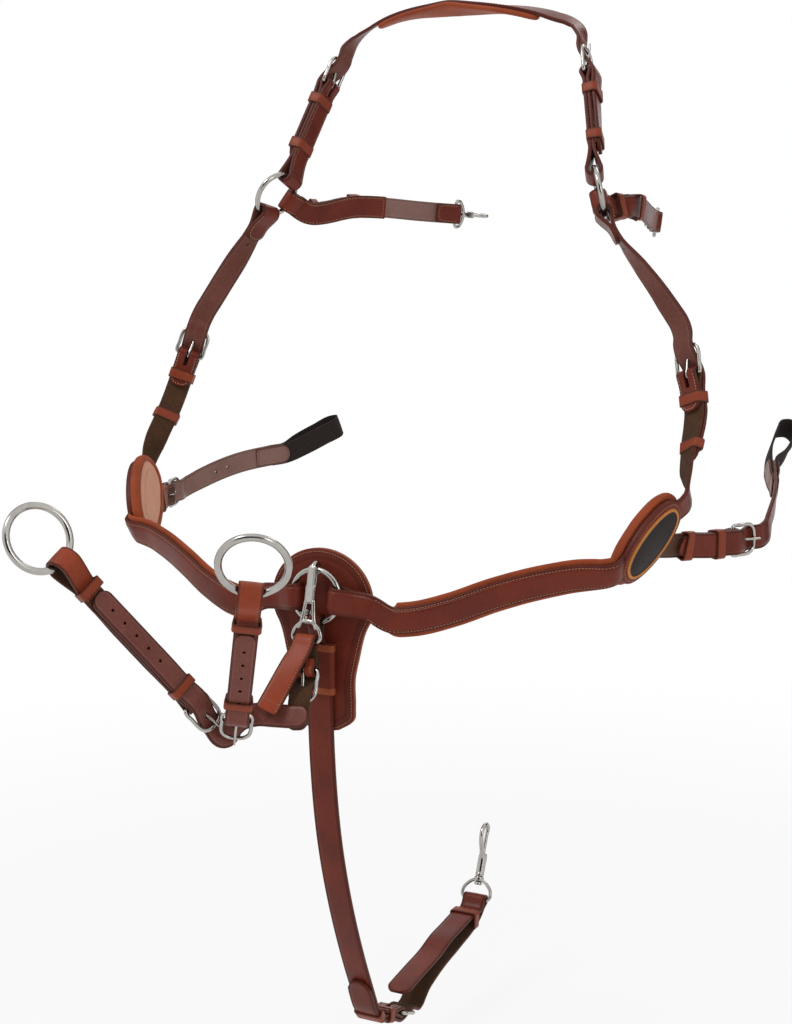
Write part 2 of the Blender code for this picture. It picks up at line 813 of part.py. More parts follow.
def breast_lining(side):
    """The padded lining behind the breast strap."""
    main = breast_stations(side)[1]
    back = stretch(main, 34 * MM, walk(main) - 34 * MM - 24 * MM)
    high = -LEATHER / 2 - GAP * 1.2
    crown = ((-1, 0.25), (-0.8, 0), (0.8, 0), (1, 0.25), (1, 0.75), (0.9, 1), (-0.9, 1), (-1, 0.75))
    return bar(back, LINING_WIDTH, high - LINING, high, crown)


def shoulder_pad(side):
    """The padded cushion under the strap ends, with the padded lining behind the breast strap."""
    edge = PAD / 2
    profile = []
    for turn in (-90, -45, 0, 45, 90):
        angle = math.radians(turn)
        profile.append((edge * (1 - math.cos(angle)) * 0.8, -PAD / 2 + PAD / 2 * math.sin(angle)))
    cushion = slab(side, leaf(PAD_WIDTH, PAD_LENGTH), profile)
    cushion = cut(cushion, clearance(breast_stations(side)[1], STRAP + 1 * MM))
    return joined(cushion, breast_lining(side))


def clearance(stations, width, thick=LEATHER):
    """The space that a strap needs, with the gap left round it."""
    grown = thick / 2 + GAP
    longer = list(stations)
    tip = longer[-1]
    along = (tip.place - longer[-2].place).normalized()
    longer[-1] = Station(tip.place + along * GAP, tip.normal, tip.across, tip.wide)
    return bar(longer, width + 2 * GAP, -grown, grown)


def shoulder_facing(side):
    """The leather over the strap ends, with the raised oval badge sewn on it."""
    top = 2 * GAP + LEATHER + FACING
    profile = ((0, GAP), (0, top - 1 * MM), (1 * MM, top))
    cover = slab(side, leaf(PAD_WIDTH - 6 * MM, PAD_LENGTH - 8 * MM), profile)
    badge = slab(side, leaf(BADGE_WIDTH, BADGE_LENGTH, taper=0.0),
                 ((0, top - 1 * MM), (0, top + BADGE_RISE * 0.6), (0.8 * MM, top + BADGE_RISE)))
    cover = joined(cover, badge)
    main = shoulder_stations(side)[1]
    cover = cut(cover, clearance(stretch(main, walk(main) * 0.62, walk(main) * 0.379), STRAP))
    main = breast_stations(side)[1]
    cover = cut(cover, clearance(stretch(main, walk(main) * 0.7, walk(main) * 0.299), STRAP + 1 * MM))
    main = tab_stations(side)[1]
    return cut(cover, clearance(stretch(main, walk(main) * 0.3, walk(main) * 0.699), STRAP))


# Side straps to the girth

SIDE_HEEL = (300, 214, 39)
SIDE_AHEAD = {1: (0.45, 0.89, 0.0), -1: (-0.25, 0.96, 0.04)}
SIDE_OUT = (0.89, -0.45, 0.0)


def side_seat(side):
    x, y, z = SIDE_HEEL
    return Seat(at(x * side, y, z), unit(*SIDE_AHEAD[side]), mirrored(unit(*SIDE_OUT), side), STRAP)


def tab_stations(side):
    seat = side_seat(side)
    start = fold(seat.heel, -seat.ahead, seat.out, FOLD_BORE, CHAPE)
    route = keys(side, (276, 168, 41, 0.93, -0.36, -0.10))
    route += [on_pad(side, 33, 19, SEAM + 0.5 * MM), on_pad(side, 22, 11, SEAM), on_pad(side, 12, 4, SEAM)]
    smooth = onward(start, route, 3)
    return framed(start[:-1] + smooth), framed(start[-2:-1] + smooth)


def side_tab(side):
    whole, main = tab_stations(side)
    solid = band(whole, STRAP)
    solid = strap_keepers(solid, main, (8 * MM, 44 * MM), STRAP)
    return cut(solid, tongue_slot(side_seat(side)))


def billet_route(side):
    """From the elastic's end of a side billet to the buckle."""
    if side > 0:
        return keys(1, (291, 358, 88, 0.90, -0.10, -0.42), (300, 338, 77, 0.96, -0.02, -0.25),
                    (309, 312, 65, 0.97, -0.10, -0.2), (313, 286, 53, 0.96, -0.2, -0.2))
    return keys(-1, (251, 366, 68, 0.94, 0.33, 0), (262, 343, 66, 0.93, 0.36, 0),
                (278, 306, 61, 0.92, 0.35, 0), (298, 268, 48, 0.97, 0.22, 0))


def side_billet(side):
    route = billet_route(side)
    seat = side_seat(side)
    passing = straight_pass(seat)
    whole = thinned(flow(route + passing[:2], 3)) + passing[2:]
    whole += tail_route(tab_stations(side)[1], 56 * MM)
    solid = band(framed(pointed(whole, 14 * MM)), STRAP)
    solid = cut(solid, tongue_hole(seat))
    spare = framed(flow(route, 3))
    solid = punched(solid, spare, [walk(spare) - k * HOLE_STEP for k in (0.4, 1.4)])
    return joined(solid, elastic_loop(side))


ELASTIC_REACH = 20 * MM       # how far the elastic is sewn along the billet
ELASTIC_TIP = {1: (-0.04, 0.91, 0.40), -1: (0.47, 0.79, 0.38)}


def elastic_loop(side):
    """The webbing loop sewn on the end of a side billet."""
    sewn = framed(thinned(flow(billet_route(side), 3)))
    inside = stretch(sewn, 1 * MM, ELASTIC_REACH)
    lift = LEATHER / 2 + ELASTIC / 2 - 0.3 * MM
    end = inside[0]
    away = unit(*ELASTIC_TIP[side])
    face = square_to(end.normal, away)
    far = end.place + away * 66 * MM
    half = 7 * MM
    route = [Key(st.place + st.normal * lift, st.normal, 1.0) for st in reversed(inside)]
    route += [Key(end.place + away * 22 * MM + face * half, face, 1.0),
              Key(end.place + away * 46 * MM + face * (half + 1 * MM), face, 1.0)]
    for turn in (60, 0, -60):
        angle = math.radians(turn)
        out = away * math.cos(angle) + face * math.sin(angle)
        route.append(Key(far + out * half, out, 1.0))
    route += [Key(end.place + away * 46 * MM - face * (half + 1 * MM), -face, 1.0),
              Key(end.place + away * 22 * MM - face * half, -face, 1.0)]
    route += [Key(st.place - st.normal * lift, -st.normal, 1.0) for st in inside]
    return band(framed(route), STRAP, ELASTIC, FLAT)


# Saddle straps and their snaps

SADDLE_END = {1: (152, 411, 317), -1: (57, 387, 325)}
SADDLE_MID = {1: (169, 300, 331), -1: (122, 285, 332)}
SADDLE_FACE = {1: (0.90, 0.20, -0.10), -1: (0.88, 0.46, 0.06)}
SNAP_AHEAD = {1: (-0.20, 0.80, 0.57), -1: (-0.20, 0.97, 0.12)}
SADDLE_CHAPE = 88 * MM
SADDLE_CLEAR = {1: 0.2, -1: 0.40}     # how far its fold is moved round the ring from the connector
EYE_WIRE = 3.6 * MM           # diameter of the wire of a snap's eye


def saddle_ring_end(side):
    end = at(SADDLE_END[side][0] * side, *SADDLE_END[side][1:])
    middle = neck_ring_middle(side)
    clear = (wither_seat(side).heel - middle).normalized() * SADDLE_CLEAR[side]
    return ring_point(middle, ring_axis(side), (end - middle).normalized() - clear, NECK_RING, WIRE, SADDLE)


def saddle_snap_end(side):
    x, y, z = SADDLE_END[side]
    return at(x * side, y, z)


def saddle_route(side):
    """The saddle strap from its fold on the ring to its fold on the snap."""
    ring_end, snap_end = saddle_ring_end(side), saddle_snap_end(side)
    x, y, z = SADDLE_MID[side]
    mid = at(x * side, y, z)
    bore = ring_fold_bore(NECK_RING, WIRE, SADDLE)[0]
    tangent = ring_tangent(neck_ring_middle(side), ring_axis(side), ring_end)
    start = fold(ring_end, (mid - ring_end).normalized(), ring_axis(side), bore, 16 * MM, along=tangent)
    face = mirrored(unit(*SADDLE_FACE[side]), side)
    back = (mid - snap_end).normalized()
    end = list(reversed(fold(snap_end, back, face, EYE_WIRE / 2 + LOOSE, 24 * MM)))
    return start, [Key(mid + face * LIFT, face, 1.0), end[0], end[1]], end


def saddle_strap(side):
    start, route, end = saddle_route(side)
    smooth = onward(start, route, 6, 1)
    solid = band(framed(start[:-1] + smooth[:-1] + end), SADDLE)
    main = framed(start[-2:-1] + smooth)
    sewn = stretch(main, 4 * MM, SADDLE_CHAPE)
    solid = joined(solid, bar(sewn, SADDLE - 1 * MM, -LIFT * 2 - LEATHER / 2, 0.3 * MM - LEATHER / 2))
    return strap_keepers(solid, main, (8 * MM, 52 * MM), SADDLE, sewn=SADDLE_CHAPE)


def snap_eye(place, ahead, across, inner, height):
    """A D of wire: a straight bar for the strap, drawn in towards the shank."""
    half = inner / 2 + EYE_WIRE / 2
    outline = ((0, 0.86), (0.10, 1.0), (0.45, 1.0), (0.75, 0.72), (0.95, 0.34), (1.0, 0.0))
    points = [place + ahead * height * a + across * half * c for a, c in outline]
    points += [place + ahead * height * a - across * half * c for a, c in reversed(outline[:-1])]
    return wire(points, EYE_WIRE / 2, closed=True)


BOSS = 1.9 * MM               # radius of the eye of a snap's gate


class Snap:
    """A trigger snap's sizes: the eye's bar is at its place and the hook is ahead of it."""

    def __init__(self, place, ahead, out, inner, height, reach, bend):
        self.place = place
        self.ahead = ahead.normalized()
        self.out = square_to(out, self.ahead)
        self.across = self.ahead.cross(self.out)
        self.inner, self.height, self.reach, self.bend = inner, height, reach, bend

    def point(self, a, o, c=0.0):
        return self.place + self.ahead * a + self.out * o + self.across * c

    def pivot(self):
        return self.point(self.height + 7 * MM, SNAP_WIRE / 2 * 1.3 + GAP + BOSS)


def snap_body(snap):
    """The eye, the shank and the hook."""
    r = snap.bend
    top = snap.reach - r - SNAP_WIRE / 2
    points = [snap.point(snap.height - 1 * MM, 0), snap.point(snap.height + 7 * MM, 0), snap.point(top, 0)]
    for turn in (45, 90, 135, 180):
        angle = math.radians(turn)
        points.append(snap.point(top + r * math.sin(angle), r - r * math.cos(angle)))
    points.append(snap.point(top - 3 * MM, 2 * r))
    taper = [1.25, 1.3, 1.0, 1.0, 1.0, 0.95, 0.85, 0.7]
    shank = wire(points, SNAP_WIRE / 2, sides=2, taper=taper)
    eye = snap_eye(snap.place, snap.ahead, snap.across, snap.inner, snap.height)
    lug = rod(snap.pivot(), snap.across, 1.3 * MM, SNAP_WIRE * 1.3)
    return eye, shank, lug


def snap_solid(snap):
    eye, shank, lug = snap_body(snap)
    pivot = snap.pivot()
    cheeks = []
    for side in (-1, 1):
        middle = pivot - snap.out * 1.6 * MM + snap.across * side * (1.5 * MM + GAP + 0.7 * MM)
        cheeks.append(block(middle, snap.ahead, snap.across, snap.out, (5 * MM, 1.4 * MM, 6.4 * MM)))
    return joined(eye, shank, *cheeks, pin(snap))


def pin(snap):
    """The gate's pin, through both cheeks."""
    return rod(snap.pivot(), snap.across, 0.8 * MM, 2 * (1.5 * MM + GAP + 1.4 * MM) - 0.2 * MM)


def gate_solid(snap):
    """The sprung gate: an eye on its pin and a finger up to the hook's tip."""
    r = snap.bend
    tip = snap.point(snap.reach - r - SNAP_WIRE / 2 - 3.4 * MM, 2 * r - SNAP_WIRE * 0.38 - GAP - 1.1 * MM)
    pivot = snap.pivot()
    finger = wire([pivot + (tip - pivot) * 0.04, pivot + (tip - pivot) * 0.55, tip], 1.1 * MM)
    boss = rod(pivot, snap.across, BOSS, 3 * MM, 12)
    return cut(joined(finger, boss), rod(pivot, snap.across, 0.8 * MM + GAP, 5 * MM, 12))


def saddle_snap(side):
    out = mirrored(unit(0.2, -0.2, 1.0), side)
    across = saddle_bar_direction(side)
    ahead = square_to(mirrored(unit(*SNAP_AHEAD[side]), side), across)
    return Snap(saddle_snap_end(side), ahead, across.cross(ahead), SADDLE + 2 * MM, 13 * MM, 46 * MM, 5.2 * MM)


def saddle_bar_direction(side):
    """The snap's bar lies across the strap's end."""
    start, route, end = saddle_route(side)
    back = (route[0].place - saddle_snap_end(side)).normalized()
    face = square_to(mirrored(unit(*SADDLE_FACE[side]), side), back)
    return back.cross(face)


# Belly strap, keyhole pad and girth snap

TAB_WIDE = 12 / 25            # the belly strap's narrow end round the ring, as a share of its width
PAD_FRONT = 9.0 * MM          # front face of the keyhole pad, behind the ring's middle
BELLY_HEEL = (0, 137, -432)
BELLY_AHEAD = (0, 0.93, -0.36)
BELLY_OUT = (0, -0.36, -0.93)
GIRTH_EYE = (0, 326, -384)
GIRTH_AHEAD = (0, 0.40, 0.916)


def belly_seat():
    return Seat(at(*BELLY_HEEL), unit(*BELLY_AHEAD), unit(*BELLY_OUT), BELLY)


def belly_ring_end():
    return ring_point(at(0, 0, 0), Vector((0, 1, 0)), Vector((0, 0, -1)), CENTRE_RING, WIRE, 12 * MM)


def belly_stations():
    """The belly strap from the ring down to the buckle under the horse."""
    bore = ring_fold_bore(CENTRE_RING, WIRE, 12 * MM)[0]
    start = fold(belly_ring_end(), Vector((0, 0, -1)), Vector((0, -1, 0)), bore, 12 * MM, wide=TAB_WIDE)
    lie = PAD_FRONT / MM - 0.5 - 1.6
    seat = belly_seat()
    end = fold(seat.heel, -seat.ahead, seat.out, FOLD_BORE, CHAPE * 1.3)
    route = [Key(at(0, lie - 2.8, -41), Vector((0, -1, 0.0)), TAB_WIDE)]
    route += keys(1, (0, lie, -54, 0, -1, 0), (0, lie, -74, 0, -1, 0), (0, lie, -105, 0, -1, 0),
                  (0, 9.5, -150, 0, -1, -0.10), (0, 21, -226, 0, -1, -0.20), (0, 42, -298, 0, -0.95, -0.31),
                  (0, 66, -358, 0, -0.88, -0.47), (0, 78, -384, 0, -0.80, -0.60))
    route += [end[-1], end[-2]]
    smooth = onward(start, route, 3, 1)
    main = framed(end[-2:-1] + list(reversed(smooth)))
    return framed(start[:-1] + smooth[:-1] + list(reversed(end))), main


def belly_strap():
    whole, main = belly_stations()
    solid = band(whole, BELLY)
    solid = strap_keepers(solid, main, (9 * MM, 30 * MM), BELLY)
    return cut(solid, tongue_slot(belly_seat()))


def girth_strap():
    """From its tail through the belly buckle to the girth snap's eye, and its loose end back again."""
    seat = belly_seat()
    passing = straight_pass(seat)
    eye = at(*GIRTH_EYE)
    away = unit(0, -0.72, -0.69)
    end = fold(eye, away, Vector((0, 0.69, -0.72)), EYE_WIRE / 2 + LOOSE, 12 * MM)
    route = keys(1, (0, 302, -403, 0, 0.30, -0.95), (0, 265, -412, 0, 0.15, -0.98),
                             (0, 225, -420, 0, 0.2, -0.98), (0, 195, -430, 0, 0.25, -0.97))
    lower = onward(end, route + passing[:2], 3)
    tail = tail_route(belly_stations()[1], 78 * MM)
    upper = flow([end[0]] + keys(1, (0, 298, -391, 0, -0.15, 0.99), (0, 268, -395, 0, -0.3, 0.95),
                                 (0, 246, -398, 0, -0.3, 0.95), (0, 221, -405, 0, -0.2, 0.98),
                                 (0, 190, -410, 0, -0.2, 0.98), (0, 160, -415, 0, -0.2, 0.98)), 2)
    whole = list(reversed(upper)) + end[1:-1] + lower + passing[2:] + tail
    solid = band(framed(pointed(whole, 16 * MM)), BELLY)
    return cut(solid, tongue_hole(seat))


def keyhole_outline():
    """The keyhole pad's outline: a round head, a waist and a square foot with rounded corners."""
    points = []
    for turn in range(-32, 90, 15):
        angle = math.radians(turn)
        points.append((50 * math.cos(angle), 46 * math.sin(angle) - 6))
    right = [(26, -114), (31, -109), (32, -98), (32, -72), (36, -54)] + points
    left = [(-x, z) for x, z in reversed(right)]
    return [(x * MM, (z + 40) * MM) for x, z in right + left]


def centre_pad():
    """The padded keyhole behind the ring, with the wide band that holds the belly strap to it."""
    depth = KEYHOLE
    profile = ((2 * MM, -depth), (0, -depth * 0.8), (0, -1.2 * MM), (1.2 * MM, 0))
    middle = at(0, PAD_FRONT / MM, -40)
    solid = lozenge(middle, Vector((1, 0, 0)), Vector((0, 0, 1)), Vector((0, -1, 0)), keyhole_outline(), profile)
    front, room = PAD_FRONT / MM, LEATHER + 2 * GAP + 2.8 * MM
    lie = framed(keys(1, (0, front, -43, 0, -1, 0), (0, front, -66, 0, -1, 0), (0, front, -87, 0, -1, 0)))
    outside = bar(lie, BELLY + 2 * (GAP + 3 * MM), -1 * MM, room + 2 * MM, CREASED)
    inside = bar(framed(keys(1, (0, front, -41, 0, -1, 0), (0, front, -89, 0, -1, 0))),
                 BELLY + 2 * GAP, 0, room)
    return joined(solid, cut(outside, inside))


def girth_snap_frame():
    place = at(*GIRTH_EYE)
    ahead = unit(*GIRTH_AHEAD)
    return place, ahead, Vector((1, 0, 0)), Vector((1, 0, 0)).cross(ahead)


GIRTH_EYE_HEIGHT = 20 * MM
STEM = 2.6 * MM               # radius of the swivel's stem
BARREL = 4.6 * MM             # radius of the girth snap's barrel
BOLT = 1.9 * MM               # radius of its bolt


def girth_eye():
    """The swivel eye: a D with a collar at its top."""
    place, ahead, across, out = girth_snap_frame()
    eye = snap_eye(place, ahead, across, BELLY + 2 * MM, GIRTH_EYE_HEIGHT)
    top = place + ahead * (GIRTH_EYE_HEIGHT + 0.5 * MM)
    collar = rod(top, ahead, 5.2 * MM, 5 * MM, 16)
    return cut(joined(eye, collar), rod(top, ahead, STEM + GAP, 12 * MM, 16))


def girth_hook():
    """The hook with its barrel, and the swivel's stem and head."""
    place, ahead, across, out = girth_snap_frame()
    base = place + ahead * (GIRTH_EYE_HEIGHT + 3 * MM + GAP)

    def point(a, o):
        return base + ahead * a * MM + out * o * MM

    stem = rod(base - ahead * 2 * MM, ahead, STEM, 9 * MM, 12)
    head = rod(base - ahead * (7.6 * MM), ahead, 4.2 * MM, 3.2 * MM, 12)
    barrel = rod(point(12, 0), ahead, BARREL, 24 * MM, 16)
    path = [point(20, 3.2), point(27, 5.5), point(35, 11), point(43, 13.5), point(50, 11.5), point(54, 6),
            point(52.5, 1), point(48, -0.4), point(42.5, 0)]
    hook = wire(path, SNAP_WIRE / 2, sides=2, taper=[1, 1, 1, 1, 1, 1, 1, 0.95, 0.8])
    solid = joined(stem, head, barrel, hook)
    bore = rod(point(16, 0), ahead, BOLT + GAP, 17 * MM, 12)
    slot = block(point(14, -4), ahead, across, out, (11 * MM, 3.2 * MM, 8 * MM))
    return cut(solid, bore, slot)


def girth_bolt():
    """The sprung bolt and its thumb knob."""
    place, ahead, across, out = girth_snap_frame()
    base = place + ahead * (GIRTH_EYE_HEIGHT + 3 * MM + GAP)
    length = 42.2 - 14.5
    shaft = rod(base + ahead * (14.5 + length / 2) * MM, ahead, BOLT, length * MM, 10)
    knob = rod(base + ahead * 17.4 * MM - out * 4.5 * MM, out, 1.2 * MM, 8 * MM)
    return joined(shaft, knob)


# Martingale attachment

MARTINGALE_EYE = (0, -17, -36)
MARTINGALE_AHEAD = (0, 0.20, 0.98)


def martingale_snap():
    """The snap that hooks over the top of the centre ring."""
    place = at(*MARTINGALE_EYE)
    ring_top = at(0, 0, (CENTRE_RING - WIRE) / 2 / MM)
    bend = 5.4 * MM
    line = ring_top - place
    turn = math.asin(bend / line.length)
    ahead = Matrix.Rotation(turn, 3, "X") @ line.normalized()
    out = Vector((0, 1, 0))
    reach = math.sqrt(line.length ** 2 - bend ** 2) + bend + SNAP_WIRE / 2
    return Snap(place, ahead, out, FORK + 2 * MM, 17 * MM, reach, bend)


REIN_HEEL = {1: (-22.5, -91.5, -86), -1: (-60.8, -99.2, -77.9)}
REIN_MIDDLE = {1: (32, -150, 54), -1: (-154, -178.6, 64.9)}
REIN_AXIS = {1: (0.42, -0.79, -0.44), -1: (0.83, -0.41, 0.37)}
REIN_LOOP = 9 * MM            # room inside the loose loop on a rein ring


def rein_line(side):
    """The heel bar and the rein ring's wire that a ring strap joins."""
    heel, middle = at(*REIN_HEEL[side]), at(*REIN_MIDDLE[side])
    axis = unit(*REIN_AXIS[side])
    toward = square_to(heel - middle, axis)
    wire_end = middle + toward * (REIN_RING - REIN_WIRE) / 2
    return heel, wire_end, axis


def rein_seat(side):
    heel, wire_end, axis = rein_line(side)
    return Seat(heel, (heel - wire_end).normalized(), axis, FORK)


def rein_strap(side):
    """The doubled strap from a buckle up to a loose loop round a rein ring."""
    heel, wire_end, axis = rein_line(side)
    up = (wire_end - heel).normalized()
    normal = square_to(axis, up)
    curve = 2 * ring_fold_bore(REIN_RING, REIN_WIRE, FORK)[1]
    loop_end = wire_end + up * (curve + REIN_WIRE / 2 + LOOSE - REIN_LOOP)
    long = (loop_end - heel).length
    heel_bend = FOLD_BORE + LEATHER / 2
    loop_bend = REIN_LOOP + LEATHER / 2
    shares = (heel_bend * 2.2 / long, 0.35, 0.55, 1 - loop_bend * 2.2 / long)
    route = bend_keys(heel, up, normal, heel_bend, 8)
    route += [Key(heel + up * long * s + normal * LIFT, normal, 1.0) for s in shares]
    route += bend_keys(loop_end, -up, -normal, loop_bend, 10)
    route += [Key(heel + up * long * s - normal * LIFT, -normal, 1.0) for s in reversed(shares)]
    solid = band(framed(route, closed=True), FORK, closed=True)
    core = framed([Key(heel + up * long * s, normal, 1.0) for s in (0, 0.5, 1)])
    low, high = -LIFT - LEATHER / 2 + 0.6 * MM, TAIL + LEATHER / 2 + GAP
    for start in (13 * MM, long * (shares[-1]) - 8 * MM):
        solid = joined(solid, keeper(core, start, FORK, low, high, 8 * MM))
    return cut(solid, tongue_slot(rein_seat(side)))


def martingale_line():
    """The fold on the snap's eye, the way down and the strap's face, square to the eye's bar."""
    return at(*MARTINGALE_EYE), unit(0, -0.57, -0.82), unit(0, -0.82, 0.57)


def martingale_seat():
    """The buckle behind the martingale strap, a little to the right of it."""
    place, down, normal = martingale_line()
    leaving = place - normal * (EYE_WIRE / 2 + LOOSE + LEATHER / 2)
    heel = leaving + down * 25 * MM - normal * 2 * MM + Vector((4, 0, 0)) * MM
    return Seat(heel, heel - leaving, -normal, FORK)


def martingale_strap():
    """A strap folded over the snap's eye: a long front layer and a short back layer to its own buckle."""
    place, down, normal = martingale_line()
    seat = martingale_seat()
    bend = EYE_WIRE / 2 + LOOSE + LEATHER / 2
    route = keys(1, (-11.5, -64.5, -88, 0.35, -0.78, 0.52), (-8, -52, -73, 0.30, -0.78, 0.54),
                 (-3.5, -37, -54, 0.15, -0.81, 0.56))
    route.append(Key(place + down * 6 * MM + normal * bend, normal, 1.0))
    for turn in (90, 126, 162, 198, 234, 270):
        angle = math.radians(turn)
        out = down * math.cos(angle) + normal * math.sin(angle)
        route.append(Key(place + out * bend, out, 1.0))
    route.append(Key(place + down * 5 * MM - normal * bend, -normal, 1.0))
    end = fold(seat.heel, -seat.ahead, seat.out, FOLD_BORE, 10 * MM)
    solid = band(framed(route + list(reversed(end))), FORK)
    return cut(solid, tongue_slot(seat))


def wrap_pass(seat, start_turn):
    """Keys of a strap that comes from behind, round a buckle's fold, and lies over it."""
    made = []
    for turn in range(start_turn, 91, 22):
        angle = math.radians(turn)
        out = seat.ahead * math.cos(angle) + seat.out * math.sin(angle)
        made.append(Key(seat.heel + out * (OVER + 2 * GAP), out, 1.0))
    made.append(Key(seat.point(-FOLD_OUT, (OVER + TAIL) / 2 + 0.5 * MM), seat.out, 1.0))
    return made


def rein_tail(side):
    """Keys of a fork arm's tail up the front of its ring strap."""
    heel, wire_end, axis = rein_line(side)
    up = (wire_end - heel).normalized()
    normal = square_to(axis, up)
    long = (wire_end - heel).length - 2 * REIN_LOOP - 20 * MM
    return [Key(heel + up * (12 * MM + (long - 12 * MM) * s) + normal * TAIL, normal, 1.0)
            for s in (0, 0.25, 0.5, 0.75, 1)]


ARM_FACE = (0.80, -0.50, 0.20)


def arm_joint():
    """Where the right arm is sewn on the left one, behind the right rein buckle."""
    return rein_seat(1).point(25 * MM, -19 * MM, -2 * MM)


def fork_stem():
    """The short strap through the martingale's buckle, which carries the arms."""
    seat = martingale_seat()
    tail = [Key(seat.point(-a * MM, TAIL), seat.out, 1.0) for a in (20, 12)]
    end = Key(seat.point(BUCKLE_LENGTH + 26 * MM, -UNDER * 0.9), seat.out, 1.0)
    return cut(band(framed(tail + list(reversed(straight_pass(seat))) + [end]), FORK), tongue_hole(seat))


def left_arm():
    """Sewn across the stem's front, then out to the left rein buckle."""
    stem, seat = martingale_seat(), rein_seat(-1)
    base = stem.point(BUCKLE_LENGTH + 15 * MM, -UNDER * 0.9 - LEATHER + 0.4 * MM)
    start = [Key(base + stem.across * c * MM, -stem.out, 1.0) for c in (10, -4)]
    passing = straight_pass(seat, 14 * MM)
    smooth = thinned(flow(start + [Key(arm_joint(), unit(*ARM_FACE), 1.0)] + passing[:1], 3))
    return cut(band(framed(smooth + passing[1:] + rein_tail(-1)), FORK), tongue_hole(seat))


def right_arm():
    """Sewn on the left arm and taken up to the right rein buckle."""
    seat, face = rein_seat(1), unit(*ARM_FACE)
    sewn = arm_joint() + face * LEATHER * 0.6
    start = [Key(sewn + Vector((0, 0, z)) * MM, face, 1.0) for z in (-8, 4)]
    start.append(Key(seat.point(9 * MM, -9 * MM), (seat.ahead - seat.out * 0.3).normalized(), 1.0))
    passing = wrap_pass(seat, -18)
    solid = band(framed(thinned(flow(start + passing[:1], 2))[:-1] + passing + rein_tail(1)), FORK)
    return cut(solid, tongue_hole(seat))


def fork():
    """The martingale's fork: a stem and two arms, sewn into one strap."""
    return joined(left_arm(), fork_stem(), right_arm())


# Assembly

SIDE_NAMES = {-1: "left", 1: "right"}


def build_side(side):
    """Everything that the left and the right have alike."""
    name = SIDE_NAMES[side]
    for label, seat in (("wither", wither_seat(side)), ("neck", neck_seat(side)), ("side", side_seat(side))):
        piece(f"{name}_{label}_buckle", buckle_frame(seat), STEEL)
        piece(f"{name}_{label}_tongue", buckle_tongue(seat), STEEL, seat.heel)
    piece(f"{name}_connector", connector(side), BRIDLE)
    ring(f"{name}_neck_ring", neck_ring_middle(side), ring_axis(side), NECK_RING, WIRE)
    piece(f"{name}_neck_strap", neck_strap(side), BRIDLE)
    piece(f"{name}_shoulder_strap", shoulder_strap(side), BRIDLE)
    piece(f"{name}_shoulder_facing", shoulder_facing(side), BRIDLE)
    piece(f"{name}_shoulder_pad", shoulder_pad(side), SOFT)
    piece(f"{name}_breast_strap", breast_strap(side), BRIDLE)
    piece(f"{name}_side_tab", side_tab(side), BRIDLE)
    piece(f"{name}_side_billet", side_billet(side), BRIDLE)
    build_saddle(name, side)


def build_saddle(name, side):
    piece(f"{name}_saddle_strap", saddle_strap(side), BRIDLE, saddle_ring_end(side))
    snap = saddle_snap(side)
    piece(f"{name}_saddle_snap", snap_solid(snap), STEEL, snap.place)
    piece(f"{name}_saddle_gate", gate_solid(snap), STEEL, snap.pivot())


def build_belly():
    piece("centre_pad", centre_pad(), BRIDLE, belly_ring_end())
    piece("belly_strap", belly_strap(), BRIDLE, belly_ring_end())
    seat = belly_seat()
    piece("belly_buckle", buckle_frame(seat), STEEL)
    piece("belly_tongue", buckle_tongue(seat), STEEL, seat.heel)
    piece("girth_strap", girth_strap(), BRIDLE)
    place, ahead, across, out = girth_snap_frame()
    piece("girth_snap_eye", girth_eye(), STEEL, place)
    piece("girth_snap_hook", girth_hook(), STEEL, place)
    piece("girth_snap_bolt", girth_bolt(), STEEL, place)


def build_martingale():
    snap = martingale_snap()
    piece("martingale_snap", snap_solid(snap), STEEL, at(0, 0, (CENTRE_RING - WIRE) / 2 / MM))
    piece("martingale_gate", gate_solid(snap), STEEL, snap.pivot())
    piece("martingale_strap", martingale_strap(), BRIDLE, snap.place)
    seat = martingale_seat()
    piece("martingale_buckle", buckle_frame(seat), STEEL, seat.heel)
    piece("martingale_tongue", buckle_tongue(seat), STEEL, seat.heel)
    piece("martingale_fork", fork(), BRIDLE)
    for side in (-1, 1):
        name = SIDE_NAMES[side]
        seat = rein_seat(side)
        heel, wire_end, axis = rein_line(side)
        piece(f"{name}_rein_strap", rein_strap(side), BRIDLE, heel)
        piece(f"{name}_rein_buckle", buckle_frame(seat), STEEL, heel)
        piece(f"{name}_rein_tongue", buckle_tongue(seat), STEEL, heel)
        ring(f"{name}_rein_ring", at(*REIN_MIDDLE[side]), axis, REIN_RING, REIN_WIRE)


def build():
    piece("wither_strap", wither_strap(), BRIDLE)
    ring("centre_ring", at(0, 0, 0), Vector((0, 1, 0)), CENTRE_RING, WIRE)
    build_side(-1)
    build_side(1)
    build_belly()
    build_martingale()


build()
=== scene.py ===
import json
import math

import bmesh
import bpy
import numpy as np
from mathutils import Matrix, Vector

